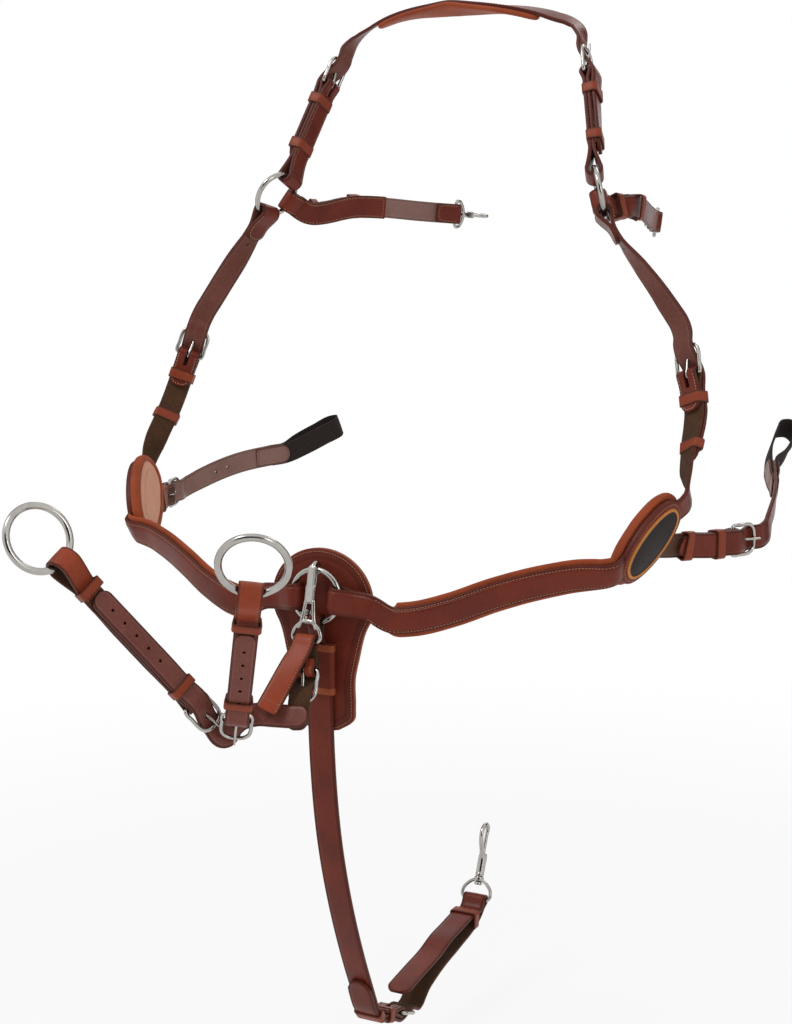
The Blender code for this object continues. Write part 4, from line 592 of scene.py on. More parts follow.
ROUTES = {
    "wither_strap": table("""
    -1585 -308 -1335 -98 13 16 30, -1580 -296 -1310 -98 13 16 66, -1570 -275 -1267 -98 13 16 94,
    -1557 -249 -1211 -98 12 16, -1552 -238 -1189 -98 12 16, -1486 -101 -899 -98 11 17, -1453 -33 -754 -99 8 13,
    -1443 18 -654 -99 5 11, -1433 38 -603 -97 10 21, -1417 49 -575 -75 26 61, -1267 109 -422 -78 25 57,
    -1248 126 -378 -98 10 20, -1236 160 -295 -98 9 19, -1222 175 -267 -92 9 39, -1209 191 -240 -90 0 43,
    -1160 230 -161 -67 -15 73, -1073 223 -103 -45 -24 86, -971 186 -68 -38 -28 88, -920 170 -51 -37 -28 89,
    -829 143 -23 -32 -23 92, -450 30 39 -12 -2 99, -181 8 59 -5 15 99, 0 0 69 0 25 97, 181 8 59 5 15 99,
    450 30 39 12 -2 99, 829 143 -23 32 -23 92, 920 170 -51 37 -28 89, 971 186 -68 38 -28 88, 1073 223 -103 45 -24 86,
    1160 230 -161 67 -15 73, 1209 191 -240 90 0 43, 1222 175 -267 92 9 39, 1236 160 -295 98 9 19,
    1248 126 -378 98 10 20, 1267 109 -422 78 25 57, 1417 49 -575 75 26 61, 1433 38 -603 97 10 21, 1443 18 -654 99 7 14,
    1458 -29 -750 98 13 16, 1497 -95 -892 97 19 18, 1574 -226 -1178 95 27 13, 1596 -265 -1263 95 29 12 94,
    1608 -285 -1306 95 30 11 66, 1615 -296 -1331 94 31 11 30"""),
    "wither_pad": table("""
    -829 143 -23 -32 -23 92, -736 111 -2 -25 -19 95, -450 30 39 -12 -2 99, -181 8 59 -5 15 99, 0 0 69 0 25 97,
    181 8 59 5 15 99, 450 30 39 12 -2 99, 736 111 -2 25 -19 95, 829 143 -23 32 -23 92"""),
    "left_connector": table("""
    -1330 20 -644 90 -16 -41, -1321 26 -627 98 -9 -18, -1333 41 -592 66 27 70, -1373 44 -585 -32 36 88,
    -1399 34 -613 -98 9 18, -1398 26 -632 -100 1 -6, -1395 -5 -695 -100 4 7, -1410 -37 -762 -98 10 18,
    -1509 -244 -1196 -98 12 16, -1542 -312 -1341 -95 18 26, -1615 -379 -1486 -91 23 35, -1630 -392 -1514 -98 14 16,
    -1628 -407 -1544 -95 -9 -31, -1579 -429 -1582 -20 -42 -88, -1517 -423 -1562 75 -33 -58, -1501 -410 -1534 98 -14 -16,
    -1503 -395 -1504 100 -4 5, -1507 -317 -1346 100 -8 -6, -1475 -248 -1202 98 -12 -16, -1376 -41 -768 98 -10 -18,
    -1361 -9 -701 95 -14 -28"""),
    "left_neck_strap": table("""
    -1935 -517 -2114 82 -29 -50, -1851 -505 -1984 73 -30 -62, -1758 -508 -1910 60 -30 -74, -1734 -508 -1887 82 -29 -50,
    -1723 -503 -1855 98 -21 -1, -1752 -484 -1799 54 8 84, -1816 -470 -1798 -44 29 85, -1841 -470 -1821 -82 29 50,
    -1851 -475 -1853 -95 25 21, -1880 -495 -1967 -88 28 38, -1969 -508 -2105 -82 29 49, -2120 -550 -2340 -56 75 35,
    -2199 -551 -2444 -44 81 38, -2281 -543 -2546 -37 87 34, -2360 -540 -2650 -33 91 25, -2423 -541 -2735 -32 93 20,
    -2483 -546 -2820 -37 93 7, -2524 -568 -2911 -45 88 -15, -2539 -604 -2993 -46 86 -21, -2553 -613 -3040 -32 92 22,
    -2643 -581 -3241 -30 91 27, -2654 -584 -3273 -46 87 -19, -2665 -604 -3325 -48 83 -29, -2675 -637 -3389 -45 87 -18,
    -2722 -701 -3588 -46 86 -23, -2732 -748 -3675 -51 76 -41, -2744 -852 -3827 -59 69 -42,
    -2756 -912 -3908 -68 63 -38 91, -2762 -939 -3943 -70 62 -35 66, -2765 -956 -3965 -72 61 -33 30"""),
    "left_shoulder_strap": table("""
    -2685 -764 -3563 45 -87 17, -2631 -692 -3339 44 -89 12, -2609 -686 -3273 38 -92 -6, -2602 -685 -3253 45 -87 17,
    -2603 -657 -3224 42 -18 89, -2621 -622 -3231 -4 70 72, -2638 -615 -3267 -45 87 -17, -2640 -626 -3285 -49 77 -40,
    -2647 -661 -3345 -46 86 -22, -2703 -737 -3579 -46 86 -23, -2711 -779 -3658 -51 76 -41, -2720 -880 -3810 -59 69 -42,
    -2728 -938 -3893 -68 63 -38, -2750 -1050 -4060 -76 63 -17, -2769 -1079 -4141 -87 50 5, -2790 -1103 -4225 -98 21 5,
    -2792 -1145 -4297 -99 -7 -9, -2774 -1191 -4333 -92 -25 -30, -2721 -1293 -4387 -91 -26 -31,
    -2678 -1390 -4450 -93 -23 -29"""),
    "left_breast_strap": table("""
    -512 -2607 -5161 2 100 0, -359 -2610 -5146 -13 99 -1, -245 -2572 -5135 -30 95 -3, -212 -2564 -5131 2 100 0,
    -156 -2598 -5126 87 48 9, -147 -2631 -5125 99 -2 10, -182 -2688 -5128 48 -88 5, -215 -2696 -5131 -2 -100 0,
    -248 -2687 -5135 -33 -94 -3, -359 -2645 -5146 -16 -99 -2, -522 -2641 -5162 -4 -100 -1, -589 -2636 -5190 -9 -100 -2,
    -653 -2629 -5226 -11 -99 -2, -720 -2620 -5250 -12 -99 -1, -867 -2603 -5243 -15 -99 0, -940 -2590 -5230 -23 -97 1,
    -1220 -2490 -5150 -39 -92 -3, -1550 -2340 -5020 -46 -88 -7, -1880 -2170 -4920 -47 -87 -13,
    -1979 -2122 -4897 -44 -88 -17, -2180 -2030 -4860 -40 -88 -24, -2282 -1999 -4851 -30 -89 -33,
    -2384 -1968 -4843 -47 -78 -42, -2458 -1910 -4820 -76 -50 -41, -2474 -1866 -4800 -96 -13 -24,
    -2480 -1819 -4779 -97 -6 -21, -2489 -1773 -4757 -95 -18 -27, -2529 -1675 -4707 -93 -23 -29"""),
    "left_side_tab": table("""
    -2908 -776 -4732 97 25 -1, -2961 -571 -4724 98 19 -1, -2961 -501 -4721 100 0 -2, -2961 -480 -4720 97 25 -1,
    -3010 -451 -4718 -25 97 4, -3039 -500 -4720 -97 -25 1, -3028 -518 -4721 -88 -48 0, -2995 -580 -4723 -95 -31 1,
    -2939 -794 -4732 -93 -38 1, -2885 -851 -4724 -65 -76 5, -2818 -896 -4711 -63 -78 2, -2760 -950 -4700 -77 -63 -7,
    -2720 -1019 -4694 -88 -45 -16, -2665 -1170 -4684 -92 -28 -28, -2625 -1340 -4659 -93 -25 -29,
    -2610 -1419 -4647 -93 -22 -29"""),
    "left_side_billet": table("""
    -2510 1030 -4430 -90 43 1, -2620 800 -4450 -91 42 1, -2780 430 -4500 -90 43 2, -2915 175 -4580 -89 45 7,
    -2980 50 -4630 -89 45 10, -3016 -6 -4658 -87 45 20, -3051 -62 -4686 -94 30 17, -3062 -124 -4705 -100 1 7,
    -3054 -153 -4708 -93 -36 0, -3029 -208 -4709 -96 -29 1, -3022 -258 -4711 -99 16 2, -3074 -475 -4718 -98 22 3,
    -3073 -509 -4719 -96 -27 1, -3055 -562 -4722 -93 -37 0, -3024 -629 -4725 -95 -30 1, -2977 -810 -4732 -93 -38 1,
    -2911 -882 -4722 -65 -76 5, -2844 -928 -4710 -63 -78 2, -2792 -976 -4703 -77 -63 -7 99,
    -2767 -1018 -4701 -85 -51 -13 94, -2756 -1037 -4701 -88 -45 -16 81, -2746 -1062 -4700 -89 -41 -18 66,
    -2735 -1087 -4700 -90 -38 -20 30"""),
    "left_elastic": table("""
    -2620 850 -4446 -90 43 1, -2534 1030 -4431 -93 37 -1, -2471 1231 -4344 -92 39 -1, -2366 1426 -4252 -86 51 5,
    -2238 1603 -4163 -70 70 15, -2169 1601 -4152 47 79 38, -2133 1543 -4168 97 -25 7, -2228 1347 -4258 88 -48 -3,
    -2350 1161 -4350 80 -59 -9, -2494 1012 -4431 82 -56 -5, -2580 832 -4447 90 -43 -1"""),
    "left_saddle_strap": table("""
    -1562 -166 -1825 70 -64 -32, -1572 -182 -1815 80 -41 -44, -1596 -286 -1776 81 -37 -45, -1605 -315 -1764 70 -64 -32,
    -1625 -333 -1747 37 -93 -4, -1678 -322 -1714 -47 -75 47, -1702 -263 -1712 -84 18 51, -1693 -234 -1724 -70 64 32,
    -1672 -216 -1742 -52 84 15, -1597 -160 -1804 -56 81 18, -1582 -136 -1819 -70 64 32, -1536 -74 -1843 -71 65 27,
    -1419 45 -1833 -70 67 22, -1293 165 -1798 -72 68 15, -1235 228 -1789 -77 63 7, -1138 355 -1790 -81 58 6,
    -803 902 -1834 -86 51 6, -719 1039 -1845 -84 53 6, -633 1173 -1854 -88 47 6, -611 1242 -1857 -95 31 7,
    -604 1262 -1858 -84 54 6, -589 1276 -1859 -46 89 2, -534 1259 -1863 88 46 -8, -536 1218 -1862 84 -54 -6,
    -551 1204 -1861 68 -73 -4, -604 1155 -1856 79 -61 -5, -684 1029 -1847 84 -54 -6"""),
    "left_saddle_strap_under": table("""
    -1577 -130 -1822 -70 64 31, -1536 -74 -1843 -71 65 27, -1419 45 -1833 -70 67 22, -1293 165 -1798 -72 68 15,
    -1235 228 -1789 -77 63 7, -1138 355 -1790 -81 58 6, -1049 488 -1796 -84 54 6, -1019 536 -1800 -84 53 6"""),
    "left_rein_strap": table("""
    -648 -3617 -5885 -95 27 -13, -642 -3606 -5902 -86 39 -33, -608 -3599 -5922 -1 56 -83, -574 -3615 -5909 85 17 -49,
    -574 -3638 -5876 86 -39 33, -588 -3644 -5862 71 -48 51, -636 -3666 -5816 84 -40 36, -863 -3863 -5464 86 -39 33,
    -1017 -3997 -5224 86 -39 33, -1249 -4199 -4862 91 -34 25, -1273 -4304 -4700 98 -21 3, -1282 -4327 -4663 90 -34 25,
    -1345 -4352 -4610 31 -57 76, -1430 -4336 -4609 -49 -42 76, -1480 -4290 -4662 -97 1 26, -1463 -4245 -4734 -80 43 -41,
    -1431 -4233 -4761 -62 52 -59, -1279 -4185 -4873 -80 44 -42, -1047 -3983 -5235 -86 39 -33,
    -893 -3849 -5475 -86 39 -33, -666 -3653 -5828 -87 38 -31"""),
    "left_breast_lining": table("""
    -681 -2625 -5236 -11 -99 -2, -720 -2620 -5250 -12 -99 -1, -867 -2603 -5243 -15 -99 0, -940 -2590 -5230 -23 -97 1,
    -1220 -2490 -5150 -39 -92 -3, -1550 -2340 -5020 -46 -88 -7, -1880 -2170 -4920 -47 -87 -13,
    -1979 -2122 -4897 -44 -88 -17, -2180 -2030 -4860 -40 -88 -24, -2282 -1999 -4851 -30 -89 -33,
    -2384 -1968 -4843 -47 -78 -42, -2458 -1910 -4820 -76 -50 -41, -2468 -1883 -4808 -91 -28 -32"""),
    "right_connector": table("""
    1331 19 -646 -88 -17 -44, 1321 26 -629 -97 -10 -22, 1332 40 -593 -69 26 67, 1371 45 -584 28 36 89,
    1399 34 -611 97 10 22, 1398 26 -631 100 3 -2, 1398 -5 -693 99 8 10, 1416 -36 -758 97 15 20,
    1532 -238 -1184 95 27 13, 1570 -305 -1326 91 35 21, 1648 -362 -1472 85 44 28, 1664 -372 -1500 93 35 8,
    1647 -408 -1552 67 -19 -72, 1618 -423 -1563 24 -42 -87, 1557 -430 -1539 -69 -52 -51, 1541 -419 -1511 -93 -35 -8,
    1542 -402 -1481 -96 -25 12, 1537 -316 -1330 -97 -25 -1, 1498 -247 -1189 -95 -27 -13, 1382 -41 -765 -97 -15 -20,
    1364 -9 -701 -93 -18 -31"""),
    "right_neck_strap": table("""
    1894 -541 -2130 -77 -45 -45, 1810 -529 -2000 -68 -46 -57, 1719 -538 -1924 -56 -45 -70, 1695 -540 -1900 -77 -45 -45,
    1684 -533 -1869 -94 -35 3, 1710 -505 -1815 -54 8 84, 1740 -491 -1808 -8 29 95, 1796 -481 -1841 77 45 45,
    1807 -487 -1872 90 40 16, 1837 -513 -1984 84 43 33, 1926 -526 -2122 75 45 48, 2120 -550 -2340 51 76 41,
    2283 -541 -2544 38 86 32, 2360 -540 -2650 33 91 24, 2423 -541 -2735 32 93 20, 2483 -546 -2820 37 93 7,
    2524 -568 -2911 45 88 -15, 2539 -604 -2993 46 86 -21, 2553 -613 -3040 32 92 22, 2643 -581 -3241 30 91 27,
    2654 -584 -3273 46 87 -19, 2665 -604 -3325 48 83 -29, 2675 -637 -3389 45 87 -18, 2722 -701 -3588 46 86 -23,
    2732 -748 -3675 51 76 -41, 2744 -852 -3827 59 69 -42, 2756 -912 -3908 68 63 -38 91, 2762 -939 -3943 70 62 -35 66,
    2765 -956 -3965 72 61 -33 30"""),
    "right_side_tab": table("""
    2849 -750 -4720 -89 45 0, 2945 -561 -4720 -92 40 0, 2960 -492 -4720 -98 22 0, 2964 -472 -4720 -89 45 0,
    2998 -450 -4720 -6 100 0, 3033 -468 -4720 84 55 0, 3036 -508 -4720 89 -45 0, 3022 -523 -4720 75 -66 0,
    2976 -576 -4720 86 -50 0, 2876 -775 -4720 88 -47 0, 2838 -833 -4715 83 -56 -2, 2760 -950 -4700 86 -50 -9,
    2665 -1170 -4684 92 -28 -28, 2625 -1340 -4659 93 -25 -29, 2610 -1419 -4647 93 -22 -29"""),
    "right_side_billet": table("""
    2910 950 -4230 85 49 -18, 3000 750 -4340 91 41 -7, 3090 490 -4460 96 26 -5, 3120 318 -4541 99 15 -6,
    3130 230 -4580 99 16 -5, 3151 105 -4637 99 12 4, 3166 -23 -4691 100 -6 4, 3138 -145 -4720 96 -29 3,
    3123 -171 -4721 83 -55 0, 3088 -221 -4720 88 -47 0, 3071 -268 -4720 100 -5 0, 3075 -491 -4720 100 1 0,
    3067 -524 -4720 88 -47 0, 3039 -572 -4720 83 -56 0, 2994 -631 -4720 89 -46 0, 2912 -794 -4720 88 -47 0,
    2871 -856 -4715 83 -56 -2, 2831 -914 -4709 83 -56 -5, 2786 -989 -4703 87 -48 -11, 2760 -1039 -4701 89 -43 -16 95,
    2737 -1090 -4700 90 -39 -20 66, 2726 -1116 -4699 90 -37 -23 30"""),
    "right_elastic": table("""
    3007 789 -4326 90 43 -7, 2991 827 -4306 89 45 -9, 2932 953 -4238 93 19 -32, 2969 1156 -4170 92 7 -39,
    2969 1378 -4076 92 21 -33, 2942 1589 -3975 87 44 -21, 2884 1610 -3941 -4 91 40, 2830 1566 -3935 -90 8 44,
    2821 1348 -4023 -92 -17 34, 2840 1130 -4123 -91 -30 28, 2895 931 -4231 -88 -42 22, 2952 808 -4302 -89 -45 9,
    2968 770 -4323 -90 -43 7"""),
    "right_saddle_strap": table("""
    1630 -136 -1808 -92 8 -39, 1626 -157 -1803 -83 34 -44, 1572 -256 -1792 -81 37 -44, 1559 -285 -1788 -92 8 -39,
    1578 -340 -1763 -62 -79 1, 1635 -345 -1738 30 -87 40, 1674 -296 -1739 92 -8 39, 1672 -265 -1750 93 22 30,
    1658 -160 -1790 93 17 32, 1664 -130 -1797 92 -9 39, 1678 -48 -1810 94 -11 32, 1706 289 -1801 100 -3 -3,
    1707 374 -1802 99 2 -10, 1700 519 -1813 99 8 -10, 1600 1094 -1891 98 17 -10, 1575 1237 -1911 98 15 -10,
    1551 1394 -1931 99 6 -9, 1558 1465 -1941 99 -11 -6, 1560 1486 -1944 99 14 -10, 1514 1520 -1945 -15 98 -12,
    1480 1474 -1936 -99 -14 10, 1488 1455 -1934 -92 -38 13, 1516 1389 -1927 -97 -22 11, 1539 1242 -1909 -99 -14 10"""),
    "right_saddle_strap_under": table("""
    1665 -121 -1799 92 -9 38, 1678 -48 -1810 94 -11 32, 1706 289 -1801 100 -3 -3, 1707 374 -1802 99 2 -10,
    1682 664 -1829 99 13 -10, 1667 750 -1841 98 16 -10"""),
    "right_rein_strap": table("""
    -232 -3526 -5936 -31 66 69, -241 -3514 -5950 -40 77 49, -239 -3530 -6005 -34 37 -86, -209 -3576 -5990 40 -77 -49,
    -204 -3579 -5970 47 -84 -26, -188 -3591 -5903 42 -79 -46, -62 -3728 -5584 40 -77 -49, 28 -3824 -5358 40 -77 -49,
    149 -3956 -5052 35 -71 -60, 240 -4080 -4933 25 -58 -77, 260 -4106 -4904 36 -73 -58, 277 -4115 -4820 53 -82 21,
    258 -4068 -4751 34 -37 86, 214 -3994 -4743 -7 33 94, 175 -3943 -4800 -44 81 40, 166 -3938 -4843 -50 85 14,
    135 -3928 -5035 -45 82 37, 13 -3797 -5341 -40 77 49, -76 -3701 -5567 -40 77 49, -202 -3564 -5885 -39 76 52"""),
    "belly_strap": table("""
    0 -2613 -5456 0 100 0 48, 0 -2613 -5457 0 95 -31 48, 0 -2582 -5364 0 96 -30 48, 0 -2575 -5336 0 100 0 48,
    0 -2582 -5309 0 87 50 48, 0 -2630 -5281 0 0 100 48, 0 -2657 -5288 0 -50 87 48, 0 -2685 -5336 0 -100 0 48,
    0 -2678 -5364 0 -96 -30 48, 0 -2648 -5457 0 -96 -28 48, 0 -2648 -5466 0 -92 -39 48, 0 -2635 -5487 0 -70 -72 48,
    0 -2610 -5502 0 -59 -81 48, 0 -2589 -5520 0 -83 -55 48, 0 -2565 -5605 0 -100 -9 83, 0 -2557 -5716 0 -100 -2,
    0 -2561 -5850 0 -100 1, 0 -2561 -6160 0 -100 -1, 0 -2535 -6610 0 -100 -10, 0 -2420 -7370 0 -98 -22,
    0 -2210 -8090 0 -94 -33, 0 -2055 -8492 0 -92 -39, 0 -1931 -8777 0 -92 -40, 0 -1850 -8950 0 -90 -43,
    0 -1792 -9077 0 -90 -44, 0 -1728 -9201 0 -83 -56, 0 -1639 -9302 0 -49 -87, 0 -1348 -9415 0 -40 -92,
    0 -1291 -9455 0 -58 -81, 0 -1274 -9467 0 -36 -93, 0 -1235 -9461 0 63 -78, 0 -1220 -9424 0 99 15,
    0 -1246 -9393 0 36 93, 0 -1266 -9390 0 12 99, 0 -1336 -9382 0 32 95, 0 -1617 -9273 0 36 93"""),
    "girth_strap": table("""
    0 -1160 -9285 0 -19 98, 0 -1030 -9260 0 -17 99, 0 -730 -9210 0 -15 99, 0 -420 -9160 0 -22 98, 0 -170 -9090 0 -21 98,
    0 50 -9060 0 -14 99, 0 350 -9020 0 -7 100, 0 441 -9019 0 0 100, 0 531 -9020 0 -17 99, 0 553 -9000 0 -81 59,
    0 591 -8939 0 -85 52, 0 602 -8920 0 -69 72, 0 660 -8922 0 72 69, 0 658 -8980 0 69 -72, 0 640 -8990 0 49 -87,
    0 577 -9025 0 57 -82, 0 548 -9053 0 63 -78, 0 390 -9140 0 35 -94, 0 20 -9230 0 19 -98, 0 -380 -9310 0 24 -97,
    0 -582 -9371 0 34 -94, 0 -680 -9410 0 47 -88, 0 -754 -9462 0 60 -80, 0 -826 -9518 0 43 -90, 0 -903 -9533 0 4 -100,
    0 -931 -9522 0 -47 -88, 0 -983 -9491 0 -40 -92, 0 -1032 -9479 0 5 -100, 0 -1254 -9505 0 11 -99,
    0 -1287 -9500 0 -38 -93, 0 -1338 -9477 0 -48 -88, 0 -1401 -9438 0 -40 -92, 0 -1659 -9338 0 -49 -87,
    0 -1762 -9224 0 -83 -56, 0 -1860 -9027 0 -90 -43, 0 -1887 -8968 0 -90 -43 95, 0 -1915 -8911 0 -90 -43 66,
    0 -1929 -8883 0 -90 -43 30"""),
    "martingale_strap": table("""
    -115 -3275 -5990 36 -76 55, -80 -3150 -5840 30 -77 55, -35 -3000 -5650 16 -78 60, 0 -2868 -5496 1 -77 63,
    0 -2834 -5447 0 -76 64, 0 -2813 -5431 0 -33 94, 0 -2767 -5445 0 80 60, 0 -2759 -5469 0 100 2,
    0 -2766 -5493 0 88 -48, 0 -2795 -5534 -3 92 -40, 22 -2823 -5625 -5 94 -35, 26 -2834 -5644 -4 94 -34,
    36 -2853 -5711 -5 96 -28, 40 -2858 -5730 -1 86 -51, 46 -2912 -5744 16 -50 -85, 40 -2927 -5690 1 -86 51,
    37 -2913 -5676 -3 -71 70, 26 -2864 -5626 -2 -74 67, 24 -2858 -5616 1 -86 51"""),
    "fork_left_arm": table("""
    206 -3145 -6025 1 -86 51, 67 -3157 -6043 6 -86 51, -94 -3180 -6048 16 -88 45, -251 -3220 -6052 32 -90 31,
    -370 -3295 -6095 61 -79 7, -398 -3340 -6131 82 -54 20, -435 -3435 -6212 77 -54 35, -508 -3486 -6117 85 -40 35,
    -527 -3510 -6077 98 -18 -1, -534 -3634 -5892 99 -15 -5, -544 -3651 -5864 85 -40 35, -574 -3674 -5822 78 -44 43,
    -617 -3696 -5778 84 -41 36, -752 -3813 -5567 86 -39 33, -1158 -4166 -4935 86 -39 33"""),
    "fork_stem": table("""
    8 -2743 -5569 -1 86 -51, 20 -2782 -5637 -3 90 -42, 30 -2803 -5699 -3 92 -38, 39 -2828 -5748 -2 87 -49,
    44 -2851 -5772 6 54 -84, 77 -3039 -5888 5 59 -81, 85 -3069 -5927 -2 88 -48, 99 -3105 -6009 -2 88 -47,
    124 -3184 -6146 -1 86 -51"""),
    "fork_right_arm": table("""
    -354 -3305 -6171 84 -53 10, -357 -3298 -6109 85 -53 0, -354 -3305 -6051 89 -23 -41, -328 -3366 -6008 65 3 -76,
    -292 -3442 -6004 -19 -5 -98, -261 -3497 -6024 -33 36 -87, -250 -3519 -6043 -31 32 -90, -219 -3571 -6046 7 -33 -94,
    -204 -3594 -6031 36 -73 -58, -177 -3621 -5957 44 -81 -38, -160 -3635 -5895 42 -79 -45, -89 -3712 -5714 40 -77 -49,
    126 -3945 -5171 40 -77 -49"""),
}
for word in ("shoulder_strap", "breast_strap", "breast_lining"):
    ROUTES["right_" + word] = tuple((-x, y, z, -across, *others) for x, y, z, across, *others in ROUTES["left_" + word])

# Each keeper's solid, its width, its lowest and its highest side in millimetres, and rows as in the
# routes that it runs along.

KEEPERS = (
    ("left_connector", 26.2, -4.55, 9.85, table("""
    -1389 -30 -747 -98 10 18, -1393 -39 -765 -98 10 18, -1409 -72 -835 -98 10 17""")),
    ("left_connector", 26.2, -4.55, 9.85, table("""
    -1488 -237 -1181 -98 12 16, -1492 -246 -1199 -98 12 16, -1508 -279 -1269 -98 13 16""")),
    ("left_shoulder_strap", 26.2, -6.3, 7.8, table("-2665 -685 -3419 -46 87 -19, -2687 -715 -3512 -46 86 -21")),
    ("left_shoulder_strap", 26.2, -2.8, 7.8, table("""
    -2720 -877 -3806 -59 69 -43, -2720 -880 -3810 -59 69 -42, -2728 -934 -3887 -67 63 -38""")),
    ("left_side_tab", 26.2, -6.3, 7.8, table("-2975 -657 -4727 -95 -30 1, -2949 -754 -4731 -94 -35 1")),
    ("left_side_tab", 26.2, -2.8, 7.8, table("""
    -2776 -935 -4703 -74 -68 -4, -2760 -950 -4700 -77 -63 -7, -2721 -1017 -4694 -88 -45 -15""")),
    ("left_saddle_strap", 24.2, -6.3, 7.8, table("""
    -1554 -99 -1833 -71 65 29, -1536 -74 -1843 -71 65 27, -1490 -25 -1845 -70 67 25""")),
    ("left_saddle_strap", 24.2, -6.3, 7.8, table("""
    -1251 211 -1791 -76 64 9, -1235 228 -1789 -77 63 7, -1189 289 -1789 -79 61 6""")),
    ("left_rein_strap", 24.2, -4.55, 9.55, table("-672 -3677 -5790 86 -39 33, -711 -3711 -5729 86 -39 33")),
    ("left_rein_strap", 24.2, -4.55, 9.55, table("-1225 -4158 -4929 86 -39 33, -1264 -4192 -4868 86 -39 33")),
    ("right_connector", 26.2, -4.55, 9.85, table("""
    1394 -30 -744 97 14 20, 1399 -38 -762 97 15 20, 1418 -72 -831 97 17 19""")),
    ("right_connector", 26.2, -4.55, 9.85, table("""
    1510 -234 -1169 96 26 14, 1515 -242 -1186 95 27 13, 1534 -276 -1256 95 29 12""")),
    ("right_shoulder_strap", 26.2, -6.3, 7.8, table("2665 -685 -3419 46 87 -19, 2687 -715 -3512 46 86 -21")),
    ("right_shoulder_strap", 26.2, -2.8, 7.8, table("""
    2720 -877 -3806 59 69 -43, 2720 -880 -3810 59 69 -42, 2728 -934 -3887 67 63 -38""")),
    ("right_side_tab", 26.2, -6.3, 7.8, table("2940 -648 -4720 89 -46 0, 2895 -737 -4720 88 -47 0")),
    ("right_side_tab", 26.2, -2.8, 7.8, table("""
    2757 -956 -4700 87 -49 -9, 2723 -1021 -4695 89 -43 -16, 2713 -1045 -4693 89 -41 -18""")),
    ("right_saddle_strap", 24.2, -6.3, 7.8, table("""
    1672 -82 -1805 93 -10 35, 1678 -48 -1810 94 -11 32, 1686 16 -1813 96 -11 26""")),
    ("right_saddle_strap", 24.2, -6.3, 7.8, table("""
    1707 355 -1802 100 1 -8, 1707 374 -1802 99 2 -10, 1703 455 -1808 99 5 -10""")),
    ("right_rein_strap", 24.2, -4.55, 9.55, table("-181 -3593 -5858 40 -77 -49, -153 -3623 -5789 40 -77 -49")),
    ("right_rein_strap", 24.2, -4.55, 9.55, table("114 -3912 -5113 40 -77 -49, 142 -3942 -5044 40 -77 -49")),
    ("belly_strap", 29.2, -6.3, 7.8, table("0 -1432 -9382 0 -40 -92, 0 -1526 -9346 0 -44 -90")),
    ("belly_strap", 29.2, -2.8, 7.8, table("""
    0 -1628 -9306 0 -49 -87, 0 -1639 -9302 0 -49 -87, 0 -1697 -9236 0 -73 -68""")),
    ("girth_strap", 29.6, -15.2, 3.9, table("0 320 -9022 0 -7 100, 0 370 -9020 0 -5 100, 0 420 -9019 0 -3 100")),
)


# Straps

class Line:
    """The smooth middle line of a strap, with its face and across directions."""

    step = 1.1 * MM
    turn = math.radians(9)

    def __init__(self, rows, closed=False):
        data = np.array([tuple(row) + (100,) * (7 - len(row)) for row in rows], float)
        places, faces, wide = data[:, :3] * 1e-4, unit_rows(data[:, 3:6]), data[:, 6] * 0.01
        lean, count = leans(places, closed), len(places)
        made = []
        for i in range(count if closed else count - 1):
            j = (i + 1) % count
            reach = np.linalg.norm(places[j] - places[i])
            bend = math.acos(np.clip(lean[i] @ lean[j], -1, 1))
            parts = max(1, math.ceil(reach / self.step), math.ceil(bend / self.turn))
            t = (np.arange(parts) / parts)[:, None]
            made.append((curve(places, lean, i, j, t), faces[i] * (1 - t) + faces[j] * t,
                         wide[i] * (1 - t[:, 0]) + wide[j] * t[:, 0]))
        if not closed:
            made.append((places[-1:], faces[-1:], wide[-1:]))
        self.places, normals, self.wide = (np.concatenate(rows) for rows in zip(*made))
        self.closed = closed
        self.turn_faces(normals)
        self.along = marks_along(self.places)
        self.length = self.along[-1]

    def turn_faces(self, normals):
        """Squares the faces to the line and evens out their turning."""
        self.way = leans(self.places, self.closed)
        for _ in range(4):
            smooth = (np.roll(normals, 1, 0) + normals * 2 + np.roll(normals, -1, 0)) / 4
            if not self.closed:
                smooth[0], smooth[-1] = normals[0], normals[-1]
            normals = smooth
        self.across = unit_rows(np.cross(self.way, normals))
        self.face = np.cross(self.across, self.way)

    def at(self, s, x=0.0, z=0.0):
        """A place at a distance along, across and above the line, with its face, its way and its across."""
        place, across, face, way = (read(rows, self.along, s)
                                    for rows in (self.places, self.across, self.face, self.way))
        return place + across * x + face * z, face, way, across

    def bend(self, last=False):
        """How far along the middle of the first fold is, or of the last."""
        found = np.nonzero(self.way @ (self.way[-1] if last else self.way[0]) < 0)[0]
        if not len(found):
            return self.length if last else 0.0
        return self.along[found[-1] if last else found[0]]

    def round_ends(self, start, end, half):
        """Adds stations near the ends and rounds the strap's corners there, in plan."""
        extra = np.array([0.06, 0.25, 0.6, 1.1, 1.7, 2.5, 3.4, 4.6, 6.0]) * MM
        marks = np.unique(np.round(np.concatenate([self.along, extra, self.length - extra]), 7))
        marks = marks[(marks >= 0) & (marks <= self.length)]
        marks = marks[np.concatenate([[True], np.diff(marks) > 0.02 * MM])]
        self.places = read(self.places, self.along, marks)
        self.across, self.face, self.way = (unit_rows(read(rows, self.along, marks))
                                            for rows in (self.across, self.face, self.way))
        self.wide = np.interp(marks, self.along, self.wide)
        self.along = marks
        for reach, far in ((start, marks), (end, self.length - marks)):
            near = np.clip(far / reach, 0, 1)
            self.wide = np.minimum(self.wide, 1 - (1 - np.sqrt(1 - (1 - near) ** 2 + 1e-4)) * reach / half)
        return self


def corner(x, z, radius, turns, side):
    """Points of a rounded corner in a cut, at angles in degrees."""
    return [(x + radius * math.cos(math.radians(t)), z + radius * math.sin(math.radians(t)), side) for t in turns]


